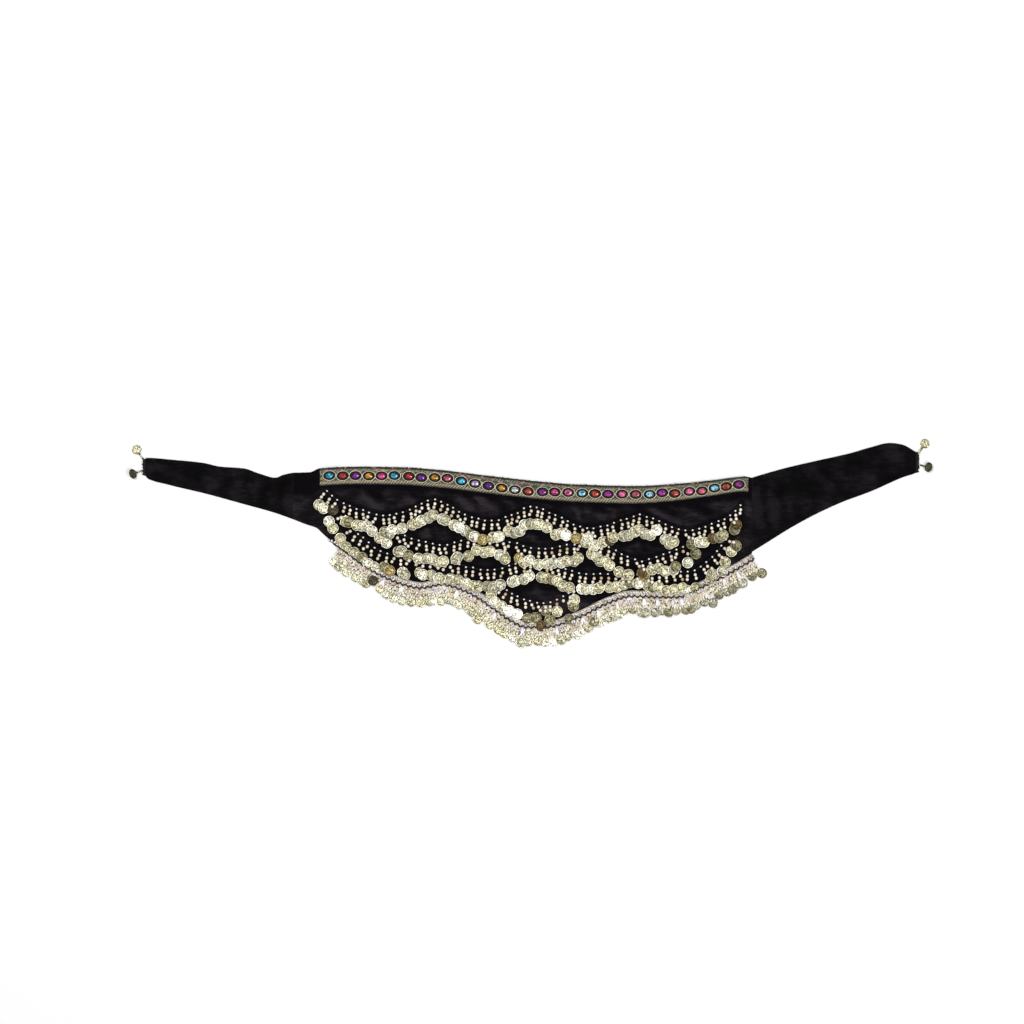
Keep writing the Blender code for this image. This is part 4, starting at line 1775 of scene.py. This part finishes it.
def hung_coin(lean: float, rng: np.random.Generator, level: float, wide: float) -> tuple[Array, float]:
    """Turns a coin to hang the way its strand does, with the tilt of a coin that lies on its neighbour.

    Args:
        lean: The way that its strand hangs.
        rng: The source of its unevenness.
        level: The height of its middle.
        wide: Its diameter.

    Returns:
        Its three axes as rows, and the height, lifted so that its edge clears the velvet.
    """
    tilt = Rest.TILT + rng.normal(0, 0.05)
    pitch = rng.normal(0.0, 0.06)
    spin = math.radians(rng.uniform(-18, 18))
    down, across = hanging(lean)
    side = across - np.array([0.0, 0.0, tilt])
    side /= np.linalg.norm(side)
    long = np.cross(np.cross(side, -down + np.array([0.0, 0.0, pitch])), side)
    long /= np.linalg.norm(long)
    turn = np.array([[math.cos(spin), math.sin(spin)], [-math.sin(spin), math.cos(spin)]])
    axes = np.vstack([turn @ np.array([side, long]), np.cross(side, long)])
    floor = LEVEL if level > LEVEL else GAP
    return axes, max(level, floor + 0.4 + wide / 2 * math.hypot(tilt, pitch))


@dataclass
class Garland:
    """A scalloped row of strands: a small bead on the sewn line, two large beads, and a coin."""

    letter: str
    line: Line
    count: int
    lower: Sequence[Line]
    beads_at: tuple[float, float, float] = (0.0, 8.0, 14.4)  # along a strand, from the sewn line
    coin_at: float = 29.6
    coin_wide: float = 20.4
    small: tuple[float, float] = (3.7, 3.4)  # a small bead's width and length
    large: tuple[float, float] = (5.9, 6.4)
    swing: float = 1.9  # how unevenly the coins hang along the row
    root: tuple[float, float] = (0.5, 0.9)  # how unevenly the strands are sewn on
    bows: tuple[float, float] = (1.2, 1.7)  # how far the large beads lie off a straight strand
    sets: dict[str, tuple[Shape, list[Place]]] = field(default_factory=dict)
    paths: list[list[Array]] = field(default_factory=list)

    def hang(self, heap: Heap) -> None:
        """Places the row's coins and beads, and puts them into the heap.

        Args:
            heap: What hangs loose.
        """
        rng = np.random.default_rng(RANDOM_SEED + ord(self.letter))
        xs = self.line.middles(self.count)
        ys = self.line.y(xs)
        tints, lower, aside = coin_tints(self.letter, xs, rng)
        swings = bunch_shifts(xs, BUNCH_ENDS[self.letter]) + rng.normal(0, self.swing, len(xs)) + aside
        leans = self.line.column("lean", xs) + np.degrees(np.arctan(swings / self.coin_at))
        levels = Rest(self.lower).levels(xs, ys, leans)
        up = np.array([0.0, 0.0, 1.0])
        bead_level = LEVEL + self.large[0] / 2
        steps = (*self.beads_at, self.coin_at - self.coin_wide / 2 + 1.0)
        coins, small, large = [], [], []
        for x, y, lean, level, tint, sag in zip(xs, ys, leans, levels, tints, lower):
            down, across = hanging(lean)
            root = np.array([x + rng.normal(0, self.root[0]), y + rng.normal(0, self.root[1]), 0.0])
            coin, lifted = hung_coin(lean, rng, level, self.coin_wide)
            small_level = LEVEL + self.small[0] / 2 - 0.2
            heights = (small_level, bead_level, max(bead_level, lifted * 0.75 + 0.6), lifted + 0.5)
            bows = (0.0, rng.normal(0, self.bows[0]), rng.normal(0, self.bows[1]), 0.0)
            path = [root + down * d + across * b + up * z for d, b, z in zip(steps, bows, heights)]
            self.paths.append([path[0] - up * 1.2, *path])
            along = np.array([down, across, up])
            small.append(Place(path[0], along, rng.random(), SEEDS.pick(rng)))
            large += [Place(spot, along, rng.random(), PEARLS.pick(rng)) for spot in path[1:3]]
            middle = root + down * (self.coin_at + sag) + up * lifted
            coins.append(Place(middle, coin, rng.random(), tint))
        self.sets["coins"] = coin_shape(self.coin_wide), coins
        self.sets["small_beads"] = bead_shape(*self.small), small
        self.sets["beads"] = bead_shape(*self.large), large
        for shape, places in self.sets.values():
            heap.add(shape, places)

    def make(self, coin_metal: Any, pearl: Any, thread: Any) -> None:
        """Builds the row's coins, beads and threads, once they have settled.

        Args:
            coin_metal: The coins' material.
            pearl: The beads' material.
            thread: The threads' material.
        """
        row = f"garland_{self.letter}"
        looks = {"coins": (coin_metal, "coins", row)}
        for name, (shape, places) in self.sets.items():
            strew(f"{row}_{name}", shape, places, *looks.get(name, (pearl, "coins")))
        for path, place in zip(self.paths, self.sets["coins"][1]):
            path[-1][2] = place.middle[2] + 0.5
        edge = self.line.spread(self.count * 3)
        sewn = np.column_stack([edge, self.line.y(edge), np.full(len(edge), LEVEL + 0.35)])
        threads = [np.array(path) for path in self.paths]
        dress(tubes(row + "_threads", [*threads, sewn], 0.45), thread, "overstitch")


# ------------------------------------------------------------------ hem


# how likely the beads of each row of the net are cream, blush, gold or lilac, from the band down
NET_SHARES = (
    (0.34, 0.36, 0.14, 0.16),
    (0.38, 0.28, 0.28, 0.06),
    (0.72, 0.12, 0.14, 0.02),
    (0.95, 0.02, 0.03, 0.0),
)
# the beads at the band's pointed end: x, and how far beside the line
CORNER_BEADS = ((-366.0, 1.0), (-362.0, 3.0), (-357.0, 4.0), (-352.0, 2.0), (-346.0, 3.5))


@dataclass
class Hem:
    """The crocheted band along the velvet's lower edge, its black thread, its net of beads and its coins."""

    line: Line
    count: int = 64
    long: float = 845.0  # along the line
    band_wide: float = 10.1
    band_taper: float = 30.0
    band_thick: float = 1.1
    shell_mm: float = 6.6  # one crocheted shell
    stitch_mm: float = 4.6
    stitch_lean: float = 38.0
    stitch_rows: tuple[float, float] = (0.3, 0.72)  # shares of the band's width
    slants: int = 82
    swings: tuple[float, float] = (2.3, -2.1)  # how far the thread's slants reach beside the line
    thread: float = 1.55  # its radius
    start_x: float = -354.0  # the coins start here, past the band's pointed end
    net_x: float = -348.0
    thread_x: float = -358.0
    net_long: float = 830.0
    net_step: float = 4.4
    net_top: float = 4.2
    net_deep: float = 18.0
    knot_share: float = 0.42
    bead_wide: float = 4.0
    bead_long: float = 6.6
    tassel_long: float = 15.0
    tassel_wide: float = 3.4
    tassel_fan: tuple[float, ...] = (-10.0, -3.5, 3.5, 10.0)
    coin_drop: float = 25.6
    coin_wide: float = 18.8
    coin_bead: float = 4.0
    bead_up: float = 9.8  # from a coin's middle to its bead's
    thread_from: float = 14.0  # the coins' threads show from here down
    sets: dict[str, tuple[Shape, list[Place]]] = field(default_factory=dict)
    paths: list[list[Array]] = field(default_factory=list)

    def wide_at(self, x: Array) -> Array:
        """The band's width, which starts as a point at the left end.

        Args:
            x: Where on the line.

        Returns:
            The widths.
        """
        return 1.0 + (self.band_wide - 1.0) * ease((x - self.line.xs[0]) / self.band_taper)

    def surface(self, u: Array, v: Array) -> Array:
        """The underside of the band, in three staggered rows of shells.

        Args:
            u: The share of the way from the left end.
            v: The share of the way from the line.

        Returns:
            The points.
        """
        cells = self.count * 8
        x = self.line.spread(cells)[np.round(u * cells).astype(int)]
        run = u * self.long / self.shell_mm
        row = np.floor(v * 2.999)
        shells = np.abs(np.sin(math.pi * (run + row * 0.5))) * (0.35 + 0.65 * np.sin(math.pi * v * 3) ** 2)
        return np.column_stack([*self.line.beside(x, v * self.wide_at(x)), GAP + 0.9 * shells])

    def hang(self, heap: Heap) -> None:
        """Places the stitches, beads, tassels and coins, and puts all but the stitches into the heap.

        Args:
            heap: What hangs loose.
        """
        rng = np.random.default_rng(RANDOM_SEED + 1)
        self.chain(rng)
        self.net(self.line.part(self.net_x), rng)
        self.tassels(rng)
        self.coins(self.line.part(self.start_x), rng)
        for name, (shape, places) in self.sets.items():
            if name != "chain":
                heap.add(shape, places)

    def make(self, crochet: Any, chain: Any, black: Any, net: Any, knot: Any, coin_metal: Any) -> None:
        """Builds the hem's pieces.

        Args:
            crochet: The band's material.
            chain: The material of the stitches along the band.
            black: The thread's material.
            net: The net beads' material.
            knot: The dark knots' material.
            coin_metal: The coins' material.
        """
        band = sheet_grid("hem_band", (self.count * 8, 9), self.surface)
        thicken(band, self.band_thick, 0.25)
        dress(band, crochet, "crochet", "hem_fringe")
        self.zigzag(black)
        looks = {
            "chain": (chain, "crochet"),
            "net_knots": (knot, "overstitch"),
            "coins": (coin_metal, "coins"),
        }
        for name, (shape, places) in self.sets.items():
            strew("hem_" + name, shape, places, *looks.get(name, (net, "crochet")))
        for path, place in zip(self.paths, self.sets["coins"][1]):
            path[1][2] = place.middle[2]
        dress(tubes("hem_coin_threads", [np.array(path) for path in self.paths], 0.4), black, "overstitch")

    def chain(self, rng: np.random.Generator) -> None:
        """The slanted stitches of the crocheted band, in two rows that lean against each other.

        Args:
            rng: The source of their unevenness.
        """
        stitches = []
        xs = self.line.spread(int(self.long / self.stitch_mm))
        wide = self.wide_at(xs)
        for share, lean in zip(self.stitch_rows, (self.stitch_lean, -self.stitch_lean)):
            px, py = self.line.beside(xs, wide * share)
            slopes = np.degrees(np.arctan2(np.gradient(py), np.gradient(px)))
            for x, y, room, slope in zip(px, py, wide, slopes):
                if room < self.band_wide * 0.6:
                    continue
                middle = np.array([x, y, GAP + self.band_thick + 1.1]) + [*rng.normal(0, 0.4, 2), 0.0]
                axes = turned(slope + lean + rng.normal(0, 9))
                stitches.append(Place(middle, axes, rng.random(), CHAIN_YARNS.pick(rng)))
        self.sets["chain"] = bead_shape(2.5, self.stitch_mm * 1.35, 6, 5), stitches

    def zigzag(self, black: Any) -> None:
        """The heavy black thread that runs in short slants along the hem line.

        Args:
            black: Its material.
        """
        steps = self.line.part(self.thread_x).spread(self.slants * 2)
        slack = ease((steps - self.line.xs[0] - 20) / 90)
        swing = np.tile(self.swings, len(steps) // 2 + 1)[: len(steps)] * (0.25 + 0.75 * slack)
        px, py = self.line.beside(steps, swing + 0.3)
        path = np.column_stack([px, py, np.full(len(px), GAP + self.band_thick + self.thread + 0.9)])
        dress(tubes("hem_thread", [path], self.thread, 2), black, "overstitch")

    def net(self, strands: Line, rng: np.random.Generator) -> None:
        """Long beads in staggered rows below the line, in runs of one colour, with dark knots between.

        Args:
            strands: The part of the line that the net hangs from.
            rng: The source of their unevenness.
        """
        beads, knots = [], []
        xs = strands.spread(int(round(self.net_long / self.net_step)))[:-1]
        colours = (CREAMS, BLUSHES, GOLDS, LILACS)
        mixes: list[BeadMix] = []
        for index, (x, y, hang) in enumerate(zip(xs, strands.y(xs), strands.column("lean", xs))):
            if index % 2 == 0:
                mixes = [colours[rng.choice(len(colours), p=shares)] for shares in NET_SHARES]
            down, across = (way[:2] for way in hanging(hang))
            for row, mix in enumerate(mixes):
                lean = hang + rng.normal(0, 16)
                aside = across * (0.5 * self.net_step if row % 2 else 0.0)
                drop = self.net_top + row * self.net_deep / len(mixes)
                spot = np.array([x, y]) + aside + down * drop + rng.normal(0, 0.6, 2)
                where = np.array([*spot, GAP + self.bead_wide / 2 + rng.uniform(0, 0.7)])
                beads.append(Place(where, turned(lean - 90), 0.0, mix.pick(rng)))
                if row < 3 and rng.random() < self.knot_share:
                    beside = spot + down * 2.6 + aside * 0.5 + rng.normal(0, 0.5, 2)
                    knots.append(Place(np.array([*beside, GAP + self.bead_wide - 0.4]), turned(lean), 0.0))
        self.sets["net_beads"] = bead_shape(self.bead_wide, self.bead_long, 7, 5), beads
        self.sets["net_knots"] = bead_shape(2.4, 3.4, 6, 4), knots
        corner = []
        for x, beside in CORNER_BEADS:
            where = np.array([*self.line.beside(x, beside), GAP + 2.6])
            corner.append(Place(where, turned(30), 0.0, LILACS.pick(rng)))
        self.sets["corner_beads"] = bead_shape(3.6, 4.4, 7, 5), corner

    def tassels(self, rng: np.random.Generator) -> None:
        """Soft white and lilac tassels of long loops.

        Args:
            rng: The source of their unevenness.
        """
        loops = []
        for x in TASSELS:
            root = np.array([x, float(self.line.y(x)), GAP + self.bead_wide + 0.7])
            for fan in self.tassel_fan:
                lean = float(self.line.column("lean", x)) + fan + rng.normal(0, 3)
                middle = root + hanging(lean)[0] * (2.4 + self.tassel_long / 2)
                loops.append(Place(middle, turned(lean - 90), 0.0, LILACS.pick(rng)))
        self.sets["tassels"] = bead_shape(self.tassel_wide, self.tassel_long, 7, 6), loops

    def coins(self, strands: Line, rng: np.random.Generator) -> None:
        """The coins of the fringe, each on a short thread with a bead.

        Args:
            strands: The part of the line that the coins hang from.
            rng: The source of their unevenness.
        """
        xs = strands.middles(self.count)
        leans = strands.column("lean", xs) + rng.normal(0, 5, len(xs))
        tints, lowers, asides = coin_tints("hem", xs, rng, np.interp(xs, *np.array(HEM_LIGHT).T))
        places, beads = [], []
        for x, y, lean, tint, lower, aside in zip(xs, strands.y(xs), leans, tints, lowers, asides):
            down, _ = hanging(lean)
            level = GAP + 1.4 + 0.5 * max(0.0, -lower - 4)  # a coin that hangs high lies over others
            axes, level = hung_coin(lean, rng, level, self.coin_wide)
            root = np.array([x + aside, y, 0.0])
            drop = self.coin_drop + lower
            places.append(Place(root + down * drop + [0, 0, level], axes, rng.random(), tint))
            bead = root + down * (drop - self.bead_up) + [0, 0, 3.6]
            beads.append(Place(bead, turned(lean), 0.0, CREAMS.pick(rng)))
            start, end = root + down * self.thread_from, root + down * (drop - self.bead_up + 2)
            self.paths.append([start + [0, 0, 2.6], end + [0, 0, level]])
        self.sets["coins"] = coin_shape(self.coin_wide), places
        self.sets["coin_beads"] = bead_shape(self.coin_bead, self.coin_bead), beads


# ------------------------------------------------------------------ tie ends


class Dangle(NamedTuple):
    """A short bead chain at a tie end, with the coin at its end."""

    y: float  # where it is sewn on
    lean: float
    reach: float  # to the coin's middle
    wide: float
    narrow: float  # the coin's seen width as a share of its real one: it stands askew
    tone: CoinTone


LEFT_DANGLES = table(Dangle, (132.5, -70.6, 19.6, 18.5, 0.68, DARK), (152.0, -145.8, 21.5, 18.0, 1.0, PLAIN))
RIGHT_DANGLES = table(Dangle, (142.8, 75.4, 18.6, 18.5, 0.7, DARK), (162.0, 146.7, 22.2, 18.0, 1.0, PLAIN))


@dataclass
class TieEnd:
    """A gathered tie end, whipped over with thread, with two short bead chains and their coins."""

    side: str
    end_x: float
    outward: int
    foot: float
    top: float
    dangles: Sequence[Dangle]
    stitches: int = 11
    thread: float = 1.35  # its radius
    round_by: float = 0.62 * math.pi  # how far round the edge a stitch goes, up and down from level
    chain_level: float = 2.4
    bead_step: float = 3.3
    bead: tuple[float, float] = (4.0, 3.4)

    def make(self, black: Any, pearl: Any, coin_metal: Any) -> None:
        """Builds the end.

        Args:
            black: The thread's material.
            pearl: The beads' material.
            coin_metal: The coins' material.
        """
        rng = np.random.default_rng(RANDOM_SEED + (3 if self.outward > 0 else 2))
        paths = []
        for y in np.linspace(self.foot, self.top, self.stitches):
            turns = np.linspace(-self.round_by, self.round_by, 9)
            reach = 3.6 + rng.uniform(-0.9, 1.4)
            x = self.end_x + self.outward * (reach * np.cos(turns) - 1.6)
            z = np.maximum(1.95 + 1.5 * np.sin(turns), 1.5)
            paths.append(np.column_stack([x, y + rng.uniform(-0.5, 0.5) + 0.8 * turns, z]))
        name = f"tie_end_{self.side}"
        dress(tubes(name + "_stitches", paths, self.thread, 2), black, "overstitch", name)
        beads, coins, threads = [], [], []
        for dangle in self.dangles:
            down, across = hanging(dangle.lean)
            root = np.array([self.end_x + self.outward * 1.5, dangle.y, self.chain_level])
            chain = dangle.reach - dangle.wide * dangle.narrow / 2
            along = np.array([down, across, [0, 0, 1]])
            for step in np.arange(2.0, chain, self.bead_step):
                beads.append(Place(root + down * step, along, 0.0, CHAINS.pick(rng)))
            lift = math.sqrt(1 - dangle.narrow**2)
            side = np.array([*(down[:2] * dangle.narrow), lift])
            face = -np.cross(side, across)
            face = face if face[2] > 0 else -face
            axes = np.array([side, np.cross(face, side), face])
            if lift > 0.3:
                axes[0, 2] = 0.28
            middle = root + down * dangle.reach
            middle[2] = 0.6 + min(lift, 0.62) * dangle.wide / 2
            coins.append(Place(middle, axes, rng.random(), scaled(*dangle.tone.value)))
            threads.append(np.array([root - down * 2, root + down * (chain + 1.5)]))
        strew(name + "_beads", bead_shape(*self.bead), beads, pearl, "coins")
        strew(name + "_coins", coin_shape(self.dangles[-1].wide), coins, coin_metal, "coins")
        dress(tubes(name + "_threads", threads, 0.5), black, "overstitch")


# ------------------------------------------------------------------ studio


@dataclass
class Studio:
    """The pale floor, soft light and the camera straight above."""

    pixel_mm: float = 1.81  # millimetres of the scarf to a pixel of the frame
    frame: int = 1024  # pixels across
    middle: tuple[float, float] = (-34.4, 57.0)
    lens: float = 100.0
    sensor: float = 36.0
    floor: float = 9.0  # its side in metres

    def make(self, paper: Any) -> None:
        """Builds the floor, the lights and the camera.

        Args:
            paper: The floor's material.
        """
        deselect()
        bpy.ops.mesh.primitive_plane_add(size=self.floor)
        floor = bpy.context.active_object
        floor.name = "floor"
        floor.data.materials.append(paper)
        self.light("key_softbox", (-2.2, 1.6, 7.0), 2.6, 330.0)
        self.light("fill_softbox", (3.6, -2.0, 5.0), 2.0, 150.0)
        world = bpy.data.worlds.new("studio_air")
        bpy.context.scene.world = world
        world.use_nodes = True
        tree = world.node_tree
        spot = add_node(tree, "TexCoord").outputs["Generated"]
        high = add_node(tree, "SeparateXYZ", {"Vector": spot}).outputs["Z"]
        stops = ((0.0, linear("9A9A9A")), (1.0, linear("FFFFFF")))
        air = add_node(tree, "ValToRGB", {"Fac": high, "stops": stops})
        set_node(tree.nodes["Background"], {"Color": air, "Strength": 0.45})
        data = bpy.data.cameras.new("overhead_camera")
        data.lens = self.lens
        data.sensor_width = self.sensor
        camera = linked("overhead_camera", data)
        frame_wide = self.pixel_mm * self.frame * MM
        camera.location = (self.middle[0] * MM, self.middle[1] * MM, frame_wide * self.lens / self.sensor)
        bpy.context.scene.camera = camera
        bpy.context.scene.view_settings.view_transform = "Standard"

    def light(self, name: str, spot: tuple[float, float, float], size: float, power: float) -> None:
        """Adds a soft square light that faces the scarf.

        Args:
            name: Its name.
            spot: Its place in metres.
            size: Its side in metres.
            power: Its power in watts.
        """
        data = bpy.data.lights.new(name, "AREA")
        data.size = size
        data.energy = power
        lamp = linked(name, data)
        lamp.location = spot
        x, y, z = spot
        lamp.rotation_euler = (math.atan2(math.hypot(x, y), z), 0.0, math.atan2(y, x) + math.pi / 2)


# ------------------------------------------------------------------ the scarf


def panel_foot(hem: Hem) -> Line:
    """The velvet's lower edge: round the left corner, then along the inner side of the crocheted band.

    Args:
        hem: The hem that runs beside it.

    Returns:
        The edge.
    """
    xs = hem.line.spread(88)
    beside = [Edge(x, y) for x, y in zip(*hem.line.beside(xs, hem.wide_at(xs) + 0.8))]
    right = WAIST_EDGE[-1].x
    last = Edge(right, float(Line(beside).y(right)))
    start = LEFT_CORNER[-1].x + 10.2
    return Line([*LEFT_CORNER, *(edge for edge in beside if start < edge.x < right), last])


def seams(black: Any) -> None:
    """Closes the seams between the panel and the ties with the thread that sews them.

    Args:
        black: The thread's material.
    """
    paths = []
    for x, foot, top in ((-431.0, 44.5, 127.5), (400.0, -14.0, 118.5)):
        ys = np.linspace(foot, top, 60)
        paths.append(np.column_stack([x + 0.1 * np.sin(ys), ys, np.full(len(ys), 0.9)]))
    dress(tubes("tie_seams", paths, 0.55), black, "overstitch")


def main() -> None:
    """Dresses the frame as the finished scarf."""
    logging.basicConfig(level=logging.INFO, format="%(name)s %(message)s")
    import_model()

    velvet = Velvet("pile_velvet").make()
    # the ties carry weaker painted light and shade
    tie_velvet = Velvet("pile_velvet_ties", "040304", "0B090B", "1B181B", nap=0.07).make()
    lame = Lame("metallic_jacquard").make()
    gilt = GiltMetal("gilt_wire").make()
    enamel = Yarn("black_setting", "010101", "070505", 2.0, 0.9).make()
    glass = FoiledGlass("foiled_glass").make()
    coin_metal = CoinMetal("champagne_coin").make()
    pale_coin = CoinMetal("pale_coin", "5E5B48", "CBC9B6").make()
    pearl = Bead("cream_pearl").make()
    knot = Yarn("brown_knots", "1B140F", "3A2C20").make()
    crochet = Yarn("blush_crochet", "6F6258", "C9BDB2", 3.2, 0.75).make()
    chain = Bead("crochet_chain", 0.75, 0.0).make()
    black = Yarn("black_thread").make()
    dark = Yarn("gathering_thread", "030303", "0D0B0D", 2.0, 0.9).make()

    waist = Line(WAIST_EDGE)
    rows = [Line(stations) for stations in (GARLAND_A, GARLAND_B, GARLAND_C, GARLAND_D)]
    hem = Hem(Line(HEM_LINE))
    sewn = [(waist, 39.8), *((row, 49.0) for row in rows[:3])]
    Cloth("velvet_panel", "centre_panel", waist, panel_foot(hem), PANEL_FOLDS, (280, 90), sewn).make(velvet)
    for side, top, foot, folds, lit_edge in (
        ("left", LEFT_TIE_TOP, LEFT_TIE_FOOT, LEFT_TIE_FOLDS, (-431.0, 0.7, 20.0)),
        ("right", RIGHT_TIE_TOP, RIGHT_TIE_FOOT, RIGHT_TIE_FOLDS, (400.0, 1.6, 24.0)),
    ):
        tie = Cloth(f"velvet_tie_{side}", f"tie_{side}", Line(top), Line(foot), folds, (110, 40))
        tie.lit_edge = lit_edge
        tie.make(tie_velvet)

    JewelBraid(waist).make(lame, gilt, enamel, glass, black, chain)
    heap = Heap()
    garlands = [
        Garland(letter, rows[index], count, rows[index + 1 :])
        for index, (letter, count) in enumerate(zip("abcd", (66, 44, 58, 14)))
    ]
    for hung in (*garlands, hem):
        hung.hang(heap)
    heap.settle()
    for garland in garlands:
        garland.make(coin_metal, pearl, black)
    hem.make(crochet, chain, black, pearl, knot, pale_coin)
    TieEnd("left", -700.0, -1, 125.0, 151.0, LEFT_DANGLES).make(dark, pearl, coin_metal)
    TieEnd("right", 699.0, 1, 131.0, 163.0, RIGHT_DANGLES).make(dark, pearl, coin_metal)
    seams(black)
    Studio().make(Paper("pale_floor").make())


if __name__ == "__main__":
    main()
